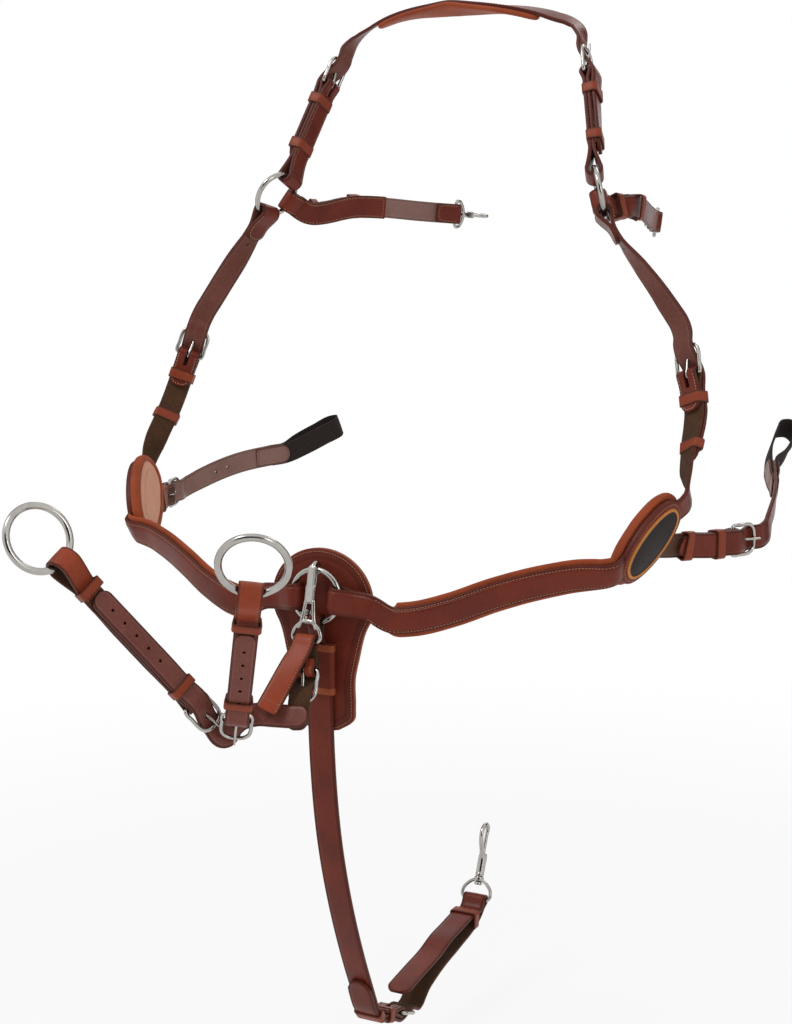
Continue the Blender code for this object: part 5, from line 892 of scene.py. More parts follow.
# A cut's face from its edge to its middle: share of the half width, share of the crease's depth and
# crown in millimetres. The breast straps are raised in the middle.

CREASE = 0.34 * MM
FLAT_FACE = ((0.93, 0, 0), (0.905, 0.5, 0), (0.885, 1, 0), (0.865, 0.5, 0), (0.84, 0, 0), (0.6, 0, 0.06),
             (0.3, 0, 0.12), (0.0, 0, 0.14))
RAISED_FACE = ((0.95, 0, 0), (0.93, 0.6, 0), (0.91, 0, 0.05), (0.80, 0, 0.05), (0.74, 0.7, 0), (0.71, 0.4, 0.27),
               (0.67, 0, 0.558), (0.6, 0, 0.756), (0.45, 0, 0.855), (0.2, 0, 0.9), (0.0, 0, 0.9))


def strap_section(half, low, high, depth=CREASE, radius=0.9 * MM, profile=FLAT_FACE):
    """A strap's cut: (across, height, which side) from the right edge round, sides 0 face, 1 flesh, 2 edge."""
    face = [(half * share, high - depth * groove + crown * MM, 0) for share, groove, crown in profile]
    made = corner(half - radius, high - radius, radius, (0, 30, 60, 90), 2)
    made += face + [(-x, z, k) for x, z, k in reversed(face[:-1])]
    made += corner(-half + radius, high - radius, radius, (90, 120, 150, 180), 2)
    made += corner(-half + radius, low + radius, radius, (180, 225, 270), 1)
    made += [(half * share, low, 1) for share in (-0.6, -0.2, 0.2, 0.6)]
    return made + corner(half - radius, low + radius, radius, (270, 315, 360), 1)


def padded_section(half, low, high, points=36):
    """A soft strip's cut: a full front and back that meet in a seamed edge."""
    made = []
    middle, deep = (low + high) / 2, (high - low) / 2
    for k in range(points):
        x, z = math.cos(2 * math.pi * k / points), math.sin(2 * math.pi * k / points)
        made.append((half * math.copysign(abs(x) ** 0.55, x), middle + deep * math.copysign(abs(z) ** 0.75, z), 0))
    return made


def sweep(name, line, section, looks, round_ends=0.9 * MM, skive=0.0):
    """A mesh that carries a section along a line. Its map gives metres along and -1 to 1 across.
    Its open ends are rounded, and a skived start is pared thin."""
    cut = np.array([(x, z) for x, z, side in section])
    half = cut[:, 0].max()
    grow, lift = np.ones(len(line.along)), np.zeros(len(line.along))
    if not line.closed:
        near = np.clip(np.minimum(line.along, line.length - line.along) / round_ends, 0, 1)
        grow = 1 - (1 - np.sqrt(1 - (1 - near) ** 2)) * round_ends / half
        lift = (1 - np.sqrt(1 - (1 - near) ** 2)) * 0.55
    x = cut[:, 0] * (line.wide * grow)[:, None]
    z = cut[:, 1] * (1 - lift)[:, None] + cut[:, 1].mean() * lift[:, None]
    if skive:
        bottom = cut[:, 1].min()
        z = bottom + (z - bottom) * (0.14 + 0.86 * np.clip(line.along / skive, 0, 1))[:, None]
    verts = line.places[:, None, :] + line.across[:, None, :] * x[:, :, None] + line.face[:, None, :] * z[:, :, None]
    marks, share = list(line.along), list(cut[:, 0] / half)
    if line.closed:
        marks.append(line.length + np.linalg.norm(line.places[0] - line.places[-1]))
    faces, uvs = grid(len(line.along), marks, share + share[:1], line.closed)
    turns = len(marks) - 1
    mats = cut_finishes(section) * turns + ([] if line.closed else [2, 2])
    return piece_from(name, verts.reshape(-1, 3), faces, uvs, mats, looks)


def keeper_loop(name, width, low, high, rows, looks, wall=KEEPER_WALL, radius=2.8 * MM):
    """A leather loop round a strap: its wall has rounded edges and a crease along each."""
    data = np.array(rows, float)
    places, faces = data[:, :3] * 1e-4, unit_rows(data[:, 3:6])
    ways, marks = unit_rows(np.gradient(places, axis=0)), marks_along(places)
    length = marks[-1]
    x, top, bottom, below = width / 2 - wall / 2, high - wall / 2, low + wall / 2, radius * 0.7
    loop = []
    for cx, cz, reach, start in ((x - radius, top - radius, radius, 0), (-x + radius, top - radius, radius, 90),
                                 (-x + radius, bottom + below, below, 180), (x - radius, bottom + below, below, 270)):
        for turn in range(0, 91, 15):
            across, up = math.cos(math.radians(start + turn)), math.sin(math.radians(start + turn))
            loop.append((cx + reach * across, cz + reach * up, across, up))
    filled = []
    for a, b in zip(loop, loop[1:] + loop[:1]):
        parts = max(1, int(math.dist(a[:2], b[:2]) / (2.2 * MM)))
        filled += [tuple(p * (1 - k / parts) + q * k / parts for p, q in zip(a, b)) for k in range(parts)]
    half, h, edge = length / 2, wall / 2, 0.55 * MM
    ring = [(share * half, h - dip * MM, 0) for share, dip in ((0, 0), (0.35, 0), (0.58, 0), (0.66, 0.16), (0.74, 0))]
    ring += corner(half - edge, h - edge, edge, (90, 60, 30), 2) + corner(half - edge, 0, edge, (0,), 2)
    ring += corner(half - edge, edge - h, edge, (-30, -60, -90), 2) + [(0, -h, 1)]
    ring += [(-a, t, side) for a, t, side in reversed(ring[1:-1])]
    verts = []
    for cx, cz, nx, nz in filled:
        for a, t, side in ring:
            s = half + a
            place, way, face = (read(values, marks, s) for values in (places, ways, faces))
            place = place + way * (min(s, 0) + max(s - length, 0))
            across = unit_rows(np.cross(way, face))
            verts.append(place + across * (cx + nx * t) + np.cross(across, way) * (cz + nz * t))
    perimeter = np.cumsum([0] + [math.dist(a[:2], b[:2]) for a, b in zip(filled, filled[1:] + filled[:1])])
    shares = [a / half for a, t, side in ring]
    quads, uvs = grid(len(filled), perimeter, shares + shares[:1], True)
    return piece_from(name, verts, quads, uvs, cut_finishes(ring) * len(filled), looks)


# Thread

def thread(name, places, ways, faces, finish="thread"):
    """A row of slanted stitches: small beads of thread whose ends dip into the leather."""
    sewing = bpy.context.scene.breastplate_sewing
    thick, half = sewing.thread / 2, sewing.stitch_length / 2
    places, ways, faces = (np.asarray(rows, float) for rows in (places, ways, faces))
    slant, sides = math.radians(12), 8
    along = ways * math.cos(slant) + unit_rows(np.cross(ways, faces)) * math.sin(slant)
    side = unit_rows(np.cross(along, faces))
    beads = ((-1.0, 0.40, -0.85), (-0.72, 0.88, -0.18), (-0.3, 1.0, 0.12), (0.3, 1.0, 0.12), (0.72, 0.88, -0.18),
             (1.0, 0.40, -0.85))
    verts = []
    for t, swell, height in beads:
        for k in range(sides):
            angle = 2 * math.pi * k / sides
            verts.append(places + along * half * t + faces * thick * (height + swell * math.sin(angle))
                         + side * thick * swell * math.cos(angle))
    one, uvs = grid(len(beads), [half * (1 + t) for t, swell, height in beads], range(sides + 1))
    quads = [tuple(n * len(verts) + v for v in face) for n in range(len(places)) for face in one]
    verts = np.stack(verts, 1).reshape(-1, 3)
    return piece_from(name, verts, quads, uvs * len(places), np.zeros(len(quads)), looks_of(finish))


def sew(name, node, parts, finish="thread"):
    """One piece with all the stitches of several rows."""
    joined = [sum((list(part[k]) for part in parts), []) for k in range(3)]
    settle(thread(name, *joined, finish), node)


def stitches(line, path, height=LEATHER / 2):
    """Places, ways and faces of stitches on a strap, along a path of distances along and across."""
    spots, ways = paced(path, bpy.context.scene.breastplate_sewing.stitch_pitch)
    made = []
    for (s, x), (ds, dx) in zip(spots, ways):
        place, face, way, across = line.at(s, x, height)
        made.append((place, unit_rows(way * ds + across * dx), unit_rows(face)))
    return list(zip(*made))


def u_path(tip, reach, half, inset):
    """Down one edge, round the tip and up the other; tip and reach are distances along the line."""
    x = half - inset
    bend = x * 0.75
    sign = 1 if reach > tip else -1
    path = [(reach, -x), (tip + sign * (inset + bend), -x)]
    for turn in range(15, 90, 15):
        angle = math.radians(turn)
        path.append((tip + sign * (inset + bend * (1 - math.sin(angle))), -x + bend * (1 - math.cos(angle))))
    path.append((tip + sign * inset, -x + bend))
    return path + [(s, -c) for s, c in reversed(path)]


# Metal

def tube(name, path, radius, closed=False, sides=20, taper=(1, 1), caps=0.6):
    """A round wire along a path; its open ends are rounded."""
    path = np.asarray(path, float)
    count = len(path)
    thick = radius * np.interp(np.linspace(0, 1, count), np.linspace(0, 1, len(taper)), taper)
    ways, along = leans(path, closed), marks_along(path)

    def squared(side, way):
        return unit_rows(side - way * (side @ way))

    frames = [unit_rows(np.cross(ways[0], (0.3, 0.5, 0.81)))]
    for way in ways[1:]:
        frames.append(squared(frames[-1], way))
    twist = 0.0
    if closed:
        side = squared(frames[-1], ways[0])
        twist = math.atan2(np.cross(frames[0], side) @ ways[0], frames[0] @ side)
    rows = [(path[i], i, thick[i], along[i], twist * i / count) for i in range(count)]
    if not closed:
        for i, sign in ((0, -1), (-1, 1)):
            ends = []
            for turn in (25, 50, 75):
                angle = math.radians(turn)
                end = path[i] + sign * ways[i] * thick[i] * caps * math.sin(angle)
                ends.append((end, i, thick[i] * math.cos(angle), along[i], 0.0))
            rows = ends[::-1] + rows if i == 0 else rows + ends
    rings = []
    for place, i, r, s, turn in rows:
        angles = 2 * math.pi * np.arange(sides) / sides - turn
        other = np.cross(ways[i], frames[i])
        rings.append(place + r * (np.cos(angles)[:, None] * frames[i] + np.sin(angles)[:, None] * other))
    marks = [s for place, i, r, s, turn in rows] + [along[-1]]
    faces, uvs = grid(len(rings), marks, [k / sides for k in range(sides + 1)], closed)
    return piece_from(name, np.concatenate(rings), faces, uvs, np.zeros(len(faces)), looks_of("steel"))


def metal(bm):
    return mesh_object("solid", bm, looks_of("steel"))


def turned_post(place, ahead, rows, sides=32):
    """A turned solid: rows of distance along its axis and radius, in millimetres."""
    bm = bmesh.new()
    rings = [[bm.verts.new(spot) for spot in circle(place + ahead * a * MM, ahead, r * MM, sides)] for a, r in rows]
    for one, two in zip(rings, rings[1:]):
        for k in range(sides):
            m = (k + 1) % sides
            bm.faces.new((one[k], one[m], two[m], two[k]))
    bm.faces.new(list(reversed(rings[0])))
    bm.faces.new(rings[-1])
    bmesh.ops.recalc_face_normals(bm, faces=bm.faces[:])
    return metal(bm)


def fused(name, things, voxel, rounds=4):
    """Several metal solids cast into one smooth piece."""
    base = bmesh.new()
    for thing in things:
        base.from_mesh(thing.data)
        bpy.data.objects.remove(thing, do_unlink=True)
    whole = mesh_object(name, base, looks_of("steel"))
    step = whole.modifiers.new("cast", "REMESH")
    step.mode, step.voxel_size, step.use_smooth_shade = "VOXEL", voxel, True
    ease = whole.modifiers.new("ease", "SMOOTH")
    ease.factor, ease.iterations = 0.5, rounds
    bpy.context.view_layer.update()
    mesh = bpy.data.meshes.new_from_object(whole.evaluated_get(bpy.context.evaluated_depsgraph_get()))
    whole.modifiers.clear()
    whole.data = mesh
    mesh.materials.clear()
    mesh.materials.append(look("steel"))
    mesh.polygons.foreach_set("use_smooth", np.ones(len(mesh.polygons), bool))
    return whole


def slot_block(seat):
    """The slot in a folded strap that lets the tongue through."""
    fold = 2 * (BUCKLE_WIRE / 2 + 0.7 * MM + LEATHER)
    return block(seat.point(-2 * MM, 0), seat.axes(), (fold + 8 * MM, TONGUE_WIRE + 1.6 * MM, fold + 2 * MM))


def tongue_bore(seat):
    """The hole in a strap for the tongue, which runs from its hook to the buckle's front bar."""
    start, end = seat.point(0, -HOOK), seat.point(BUCKLE_LENGTH, HOOK + GAP)
    return rod((start + end) / 2, (end - start).normalized(), TONGUE_WIRE / 2 + 0.8 * MM, (end - start).length)


# How each strap is sewn: its sides, the ends that are folded and sewn, how far back from the end the
# sewing goes, the seats that its tongue slots and bores are for, and its spare holes. Lengths are in
# millimetres; a spare hole with a minus is counted back from the end. SIDE stands for left and right.

PLAIN = ("bridle", "suede", "edge")
BACKED = ("bridle", "bridle_back", "edge")
PALE = ("bridle", "pale_back", "edge")
CHESTNUT = ("chestnut", "suede", "edge")
ARM = ("mauve", "suede", "edge")
ARM_HOLES = (-18, -32.5, -47, -61.5, -76)

STRAPS = {
    "wither_strap": {"looks": BACKED, "bores": ("left_wither", "right_wither")},
    "SIDE_connector": {"looks": BACKED, "sewn": "loop", "slots": ("SIDE_wither",)},
    "SIDE_neck_strap": {"looks": BACKED, "sewn": "start", "reach": 30, "bores": ("SIDE_neck",), "holes": (71, 89)},
    "SIDE_shoulder_strap": {"sewn": "start", "reach": 33, "slots": ("SIDE_neck",)},
    "SIDE_breast_strap": {"sewn": "edges"},
    "SIDE_side_tab": {"looks": ("brown_tab", "suede", "edge"), "sewn": "start", "reach": 30, "slots": ("SIDE_side",)},
    "SIDE_side_billet": {"looks": PALE, "bores": ("SIDE_side",), "left_holes": (92, 77), "right_holes": (100, 85)},
    "SIDE_saddle_strap": {"looks": PALE, "sewn": "start end", "reach": 24},
    "SIDE_saddle_strap_under": {"node": "SIDE_saddle_strap", "looks": PALE},
    "SIDE_rein_strap": {"looks": CHESTNUT, "sewn": "loop", "slots": ("SIDE_rein",)},
    "fork_left_arm": {"node": "martingale_fork", "looks": ARM, "bores": ("left_rein",), "holes": ARM_HOLES},
    "fork_stem": {"node": "martingale_fork", "bores": ("martingale",)},
    "fork_right_arm": {"node": "martingale_fork", "looks": ARM, "bores": ("right_rein",), "holes": ARM_HOLES},
    "belly_strap": {"sewn": "end", "slots": ("belly",)},
    "girth_strap": {"bores": ("belly",)},
    "martingale_strap": {"looks": CHESTNUT, "sewn": "front", "slots": ("martingale",)},
}
PALE_SEWING = ("neck", "shoulder", "wither", "belly")


def width_of(name):
    return next((width for word, width in WIDTHS.items() if word in name), 22) * MM


def strap_piece(side, name, plan):
    """A strap with its slots and bores, and its line."""
    breast = name.endswith("breast_strap")
    rows, closed, width = ROUTES[name], plan.get("sewn") == "loop", width_of(name)
    line = Line(rows, closed)
    low, high = (-5.1 * MM, -1.5 * MM) if name.endswith("_under") else (-LEATHER / 2, LEATHER / 2)
    if not closed:
        ends = [width * 0.40 if len(row) < 7 else 1.2 * MM for row in (rows[0], rows[-1])]
        if breast or name.endswith("saddle_strap") or name == "martingale_strap":
            ends = [2 * MM, 2 * MM]
        line.round_ends(*ends, width / 2)
    section = strap_section(width / 2, low, high, profile=RAISED_FACE if breast else FLAT_FACE)
    piece = sweep(name, line, section, looks_of(*plan.get("looks", PLAIN)), skive=13 * MM if breast else 0)
    for word, solid in (("slots", slot_block), ("bores", tongue_bore)):
        for seat in plan.get(word, ()):
            carve(piece, look("edge"), solid(SEATS[seat.replace("SIDE", side)]))
    return piece, line


def sewn_paths(name, plan, line):
    """Where a strap is sewn: paths of distances along and across."""
    inset, half = bpy.context.scene.breastplate_sewing.stitch_inset, width_of(name) / 2
    sewn, reach, x = plan.get("sewn", ""), plan.get("reach", 0) * MM, half - inset
    first, last = line.bend(), line.length
    paths, spans = [], []
    if "start" in sewn:
        paths.append(u_path(0, min(reach, first - 7 * MM), half, inset))
        paths.append(u_path(first * 2 - 1 * MM, first + 8 * MM, half, inset))
    if "end" in sewn.split():
        bend = line.bend(last=True)
        paths.append(u_path(last, bend + 7 * MM, half, inset))
        paths.append(u_path(bend * 2 - last + 1 * MM, bend - 8 * MM, half, inset))
    if sewn == "edges":
        spans = [(2 * first + 2 * MM, last - 26 * MM), (3 * MM, first - 12 * MM)]
    if sewn == "front":
        spans = [(2 * MM, first - 9 * MM)]
        paths.append([(9 * MM, -x), (9 * MM, x)])
    if sewn == "loop":
        spans = [(last * 0.10, last * 0.40), (last * 0.60, last * 0.90)]
    return paths + [[(start, side), (end, side)] for start, end in spans for side in (-x, x)]


# Pads. A pad's frame is its middle and its directions to the right, up its length and outwards.

def pad_frame(side):
    """A shoulder pad's frame; its right is towards the back of the horse."""
    out = unit(0.93 * side, -0.227, -0.289)
    up = square_to(unit(0.37 * side, 0.62, 0.69), out)
    return Vector((0.258 * side, -0.153, -0.459)), up.cross(out) * side, up, out


CENTRE_FRAME = (Vector((0, 9, -40)) * MM - WITHERS, Vector((1, 0, 0)), Vector((0, 0, 1)), Vector((0, -1, 0)))


def leaf(width, length, taper=0.12, points=120):
    """A shoulder pad's outline, in metres: an oval, a little narrower at the bottom."""
    made = []
    for k in range(points):
        x, y = math.sin(2 * math.pi * k / points), -math.cos(2 * math.pi * k / points)
        x = math.copysign(abs(x) ** 0.85, x)
        made.append((width / 2 * x * (1 - taper * (1 - y) / 2), length / 2 * y))
    return np.array(made) * MM


def keyhole():
    """The keyhole pad's outline, in metres: a round head, a waist and a square foot with rounded corners."""
    head = [(50 * math.cos(math.radians(t)), 46 * math.sin(math.radians(t)) - 6) for t in range(-32, 90, 15)]
    right = [(26, -114), (31, -109), (32, -98), (32, -72), (36, -54)] + head
    whole = right + [(-x, z) for x, z in reversed(right)]
    return smooth_path([(x * MM, (z + 40) * MM, 0) for x, z in whole], closed=True, parts=5)[:, :2]


def outward(outline):
    """The direction out of an outline at each of its points."""
    run = np.roll(outline, -1, 0) - np.roll(outline, 1, 0)
    normal = unit_rows(np.stack([run[:, 1], -run[:, 0]], 1))
    return normal if ((outline - outline.mean(0)) * normal).sum() >= 0 else -normal


def wrinkles(x, y, seed):
    """A slow wave and a finer one over a pad."""
    slow = np.sin(x * 210 + y * 90 + seed) * np.sin(y * 170 - x * 60 + seed * 2.1)
    return slow + 0.5 * np.sin(x * 430 + seed * 3.3) * np.sin(y * 390 + seed)


# How a pad is built up from its back to its front: inset and height in millimetres, and the number of
# the finish. In the shoulder pad 3 is the lining of its back; its side and its facing have their own.

SHOULDER_PAD = (
    (22, -8.5, 3), (18, -8.6, 3), (16.3, -8.4, 3), (15.5, -7.5, 3), (14.7, -8.2, 3), (13, -8.2, 3), (10, -7.9, 3),
    (8.2, -7.3, 3), (7.4, -7.4, 0), (6.4, -8.7, 0), (4.2, -9.1, 0), (2.2, -7.9, 0), (0.9, -6.4, 0), (0.2, -4.6, 0),
    (0.1, -3.2, 0), (0.7, -2.2, 0), (0.3, -1.5, 0), (0.6, -0.6, 0), (1.4, -0.15, 0), (3, 0, 0),
)
FACING = (
    (0.7, 0.3, 1), (0.1, 0.8, 1), (0, 4.6, 1), (0.5, 5.6, 1), (1.4, 6.2, 2), (2.4, 6.35, 2), (3.1, 6.15, 2),
    (3.8, 6.4, 2),
)
BADGE = (
    (0.5, 5.4, 0), (0, 6.6, 0), (0.2, 7.4, 0), (0.9, 8.1, 0), (1.7, 8.25, 0), (2.4, 8.0, 0), (2.7, 7.6, 1),
)
CENTRE_PAD = (
    (9.5, -7.2, 0), (7.4, -6.9, 0), (5.6, -6.2, 0), (4.8, -5.9, 0), (4.0, -6.2, 0), (2.2, -6.0, 0), (0.9, -5.0, 0),
    (0.2, -3.9, 0), (0.5, -3.1, 1), (0.1, -2.6, 1), (0, -1.2, 1), (0.4, -0.5, 1), (1.2, -0.1, 2), (2.2, 0, 2),
    (3.0, -0.25, 2), (3.7, 0, 2), (6.5, 0.05, 2), (9.5, 0.05, 2),
)


def dome(start, end, first, height, finish, steps=8):
    """Rows of a crown that rises from its first height between two insets."""
    return tuple((start + (end - start) * k / steps, first + height * (1 - (1 - k / steps) ** 2), finish)
                 for k in range(1, steps + 1))


def pillow(name, frame, outline, rows, looks, wrinkle=0.0, seed=0.0):
    """A closed padded solid on a frame, inside an outline."""
    place, right, up, out = (np.array(v, float) for v in frame)
    middle, normal, count, total = outline.mean(0), outward(outline), len(outline), len(rows)
    far = np.linalg.norm(outline - middle, axis=1)
    verts, mats = [], []
    for inset, height, _ in rows:
        inset, lift = inset * MM, np.full(count, height * MM)
        deep = np.minimum(inset, far.min() * 0.5)
        ring = outline - normal * deep
        if inset > deep:
            ring = ring + (middle - ring) * np.clip((inset - deep) / (far - deep), 0, 0.96)[:, None]
        if wrinkle:
            lift = lift + wrinkle * wrinkles(ring[:, 0], ring[:, 1], seed) * min(inset / (8 * MM), 1)
        verts.append(place + np.outer(ring[:, 0], right) + np.outer(ring[:, 1], up) + np.outer(lift, out))
    around = marks_along(np.vstack([outline, outline[:1]]))
    quads, uvs = grid(total, [j / total for j in range(total)], around)
    uvs = [(u, v) for v, u in uvs[:-2 * count]] + [(0.0, 0.0)] * (2 * count)
    for (_, low, finish), (_, high, following) in zip(rows, rows[1:]):
        mats += [following if high >= low and finish != 3 else finish] * count
    mats += [rows[0][2], rows[-1][2]]
    return piece_from(name, np.concatenate(verts), quads, uvs, mats, looks)


def outline_stitches(frame, outline, inset, height):
    """Stitches inside an outline on a pad's frame; below nought they are on its back. In millimetres."""
    place, right, up, out = (np.array(v, float) for v in frame)
    pitch = bpy.context.scene.breastplate_sewing.stitch_pitch
    spots, ways = paced(outline - outward(outline) * inset * MM, pitch, closed=True)
    places = [place + right * x + up * y + out * height * MM for x, y in spots]
    return places, [right * x + up * y for x, y in ways], [-out if height < 0 else out] * len(places)


# Sizes, colours and light that a user may change

def colour(label, about, value):
    return bpy.props.FloatVectorProperty(name=label, description=about, subtype="COLOR", size=3, min=0, max=1,
                                         default=value)


def length(label, about, value):
    return bpy.props.FloatProperty(name=label, description=about, default=value, min=0, unit="LENGTH")


def factor(label, about, value):
    return bpy.props.FloatProperty(name=label, description=about, default=value, min=0, max=1, subtype="FACTOR")


def power(label, about, value):
    return bpy.props.FloatProperty(name=label, description=about, default=value, unit="POWER")


class BreastplateSewing(bpy.types.PropertyGroup):
    """Sizes of the sewing"""

    thread: length("Thread", "Diameter of the sewing thread", 0.72 * MM)
    stitch_length: length("Stitch length", "Length of one visible stitch", 2.1 * MM)
    stitch_pitch: length("Stitch pitch", "Distance between the middles of two stitches", 2.7 * MM)
    stitch_inset: length("Stitch inset", "Distance of the sewing from a strap's edge", 2.1 * MM)


class BreastplateHides(bpy.types.PropertyGroup):
    """Colours and gloss of the leathers and the thread"""

    face: colour("Strap face", "Deep colour of the straps' outer side", (0.125, 0.0165, 0.0085))
    face_warm: colour("Strap face, warm", "Lighter patches in the straps' outer side", (0.20, 0.030, 0.0135))
    # This colour also paints the highlight line just inside each strap's crease.
    face_pull_up_and_highlight: colour("Strap face, worn", "Pulled-up leather on the straps' outer side", (0.20, 0.055, 0.032))
    flesh: colour("Flesh side", "Suede side of the straps", (0.062, 0.028, 0.013))
    edge: colour("Cut edge", "Dyed and burnished edge of the straps", (0.085, 0.016, 0.009))
    tab: colour("Side tabs", "Matte brown of the side tabs", (0.075, 0.032, 0.017))
    keeper: colour("Keepers", "Bright chestnut of the keepers", (0.25, 0.042, 0.016))
    lining: colour("Lining", "Soft lining of the pads and the breast straps", (0.33, 0.066, 0.024))
    pale_lining: colour("Pale lining", "Lining of the left shoulder pad", (0.76, 0.39, 0.26))
    thread: colour("Thread", "Waxed sewing thread", (0.70, 0.34, 0.19))
    pale_thread: colour("Pale thread", "Pale thread at the neck and shoulder buckles", (0.70, 0.52, 0.34))
    chestnut: colour("Chestnut", "Brighter leather of the ring straps and the martingale strap",
                     (0.30, 0.050, 0.019))
    gloss: factor("Roughness", "Roughness of the straps' outer side", 0.27)


class BreastplateMetal(bpy.types.PropertyGroup):
    """Finish of the buckles, rings, snaps and badges"""

    steel: colour("Steel", "Colour of the polished steel", (0.46, 0.44, 0.41))
    roughness: factor("Roughness", "Roughness of the polished steel", 0.13)
    badge: colour("Badge", "Plain panel of the shoulder badges", (0.011, 0.0065, 0.0055))


class BreastplateStage(bpy.types.PropertyGroup):
    """Floor and light"""

    floor: bpy.props.FloatProperty(name="Floor", description="Height of the floor", default=-0.992, unit="LENGTH")
    key: power("Key lamp", "Power of the large lamp", 34)
    fill: power("Fill lamp", "Power of the side lamp", 10)
    rim: power("Rim lamp", "Power of the lamp behind", 10)
    world: bpy.props.FloatProperty(name="Sky", description="Strength of the even light", default=0.42, min=0)


# The pieces

class BREASTPLATE_OT_straps(bpy.types.Operator):
    """Makes every plain strap with its creases, slots, holes and sewing"""

    bl_idname = "breastplate.straps"
    bl_label = "Straps"

    def execute(self, context):
        for side in ("left", "right"):
            for key, plan in STRAPS.items():
                if side == "left" or "SIDE" in key:
                    self.strap(side, key, plan)
        for side in ("left", "right"):
            self.cover(side)
        return {"FINISHED"}

    def strap(self, side, key, plan):
        name, node = (word.replace("SIDE", side) for word in (key, plan.get("node", key)))
        piece, line = strap_piece(side, name, plan)
        paths = sewn_paths(name, plan, line)
        if paths:
            finish = "pale_thread" if any(word in key for word in PALE_SEWING) else "thread"
            sew(name + "_stitches", node, [stitches(line, path) for path in paths], finish)
        for hole in plan.get("holes", plan.get(side + "_holes", ())):
            place, face, way, across = line.at(hole * MM if hole > 0 else line.length + hole * MM)
            carve(piece, look("edge"), rod(place, face, HOLE / 2, LEATHER * 1.4))
        settle(piece, node)

    def cover(self, side):
        """The saddle strap's outer layer, which runs from its ring over the two keepers."""
        node, thick, half, x = side + "_saddle_strap", 2.3 * MM, 11 * MM, 8.9 * MM
        base, rows = Line(ROUTES[node]), []
        for s, height in ((45, 3.3), (49, 4.6), (53, 6.4), (58, 7.6), (64, 7.8), (72, 7.5), (82, 7.2), (92, 7.5),
                          (100, 7.8), (108, 7.7), (116, 7.2), (124, 6.7), (132, 6.4), (140, 6.3)):
            place, face, way, across = base.at(s * MM, 0, -height * MM)
            rows.append(tuple(place * 1e4) + tuple(-face * 100))
        line = Line(rows).round_ends(2 * MM, 1.2 * MM, half)
        section = strap_section(half, -thick / 2, thick / 2, radius=0.6 * MM)
        settle(sweep(side + "_saddle_cover", line, section, looks_of(*PLAIN), 0.6 * MM), node)
        far = line.length - 3 * MM
        path = [(7 * MM, x), (far, x), (far, -x), (7 * MM, -x)]
        sew(side + "_saddle_cover_stitches", node, [stitches(line, path, thick / 2)])


class BREASTPLATE_OT_keepers(bpy.types.Operator):
    """Makes the keepers, the loops that hold the strap ends"""

    bl_idname = "breastplate.keepers"
    bl_label = "Keepers"

    def execute(self, context):
        looks = looks_of("keeper", "warm_suede", "warm_edge")
        for number, (node, width, low, high, rows) in enumerate(KEEPERS):
            name = f"{node}_keeper_{number % 2 + 1}"
            settle(keeper_loop(name, width * MM, low * MM, high * MM, rows, looks), node)
        return {"FINISHED"}


class BREASTPLATE_OT_elastics(bpy.types.Operator):
    """Makes the webbing loops at the ends of the side billets"""

    bl_idname = "breastplate.elastics"
    bl_label = "Elastic loops"

    def execute(self, context):
        for side in ("left", "right"):
            self.loop(side, side + "_side_billet")
            for turn, word in ((-1, "inner"), (1, "outer")):
                self.patch(side + "_side_billet", f"{side}_{word}_patch", turn)
        return {"FINISHED"}

    def loop(self, side, node):
        """The webbing, sewn down in a square at each end."""
        line, thick, x = Line(ROUTES[side + "_elastic"]), 1.8 * MM, 8.4 * MM
        section = strap_section(11 * MM, -thick / 2, thick / 2, depth=0, radius=0.5 * MM)
        piece = sweep(side + "_elastic", line, section, looks_of("web", "web", "web"), 0.4 * MM)
        settle(piece, node)
        paths = []
        for start, end in ((2 * MM, 18 * MM), (line.length - 18 * MM, line.length - 2 * MM)):
            paths += [[(start, edge), (end, edge)] for edge in (-x, x)]
            paths += [[(s, -8 * MM), (s, 8 * MM)] for s in (start, end)]
        sew(side + "_elastic_stitches", node, [stitches(line, path, thick / 2) for path in paths])

    def patch(self, node, name, turn):
        """A leather patch that holds the webbing, on one side of the billet's end."""
        billet, thick, half, rows = Line(ROUTES[node]), 1.5 * MM, 10.4 * MM, []
        for s, height in ((-1.5, 3.9), (4, 3.9), (12, 3.9), (19, 3.9), (24, 3.4), (28, 2.6), (33, 2.35), (40, 2.35)):
            place, face, way, across = billet.at(max(s, 0) * MM, 0, turn * height * MM)
            rows.append(tuple((place + way * min(s, 0) * MM) * 1e4) + tuple(face * turn * 100))
        line = Line(rows).round_ends(9.5 * MM, 3 * MM, 10.5 * MM)
        section = strap_section(half, -thick / 2, thick / 2, radius=0.5 * MM)
        settle(sweep(name, line, section, looks_of("pale_back", "suede", "edge"), 0.5 * MM), node)
        far = line.length - 2 * MM
        path = u_path(0, far, half, 1.9 * MM) + [(far, -8.5 * MM)]
        sew(name + "_stitches", node, [stitches(line, path, thick / 2)], "dark_thread")


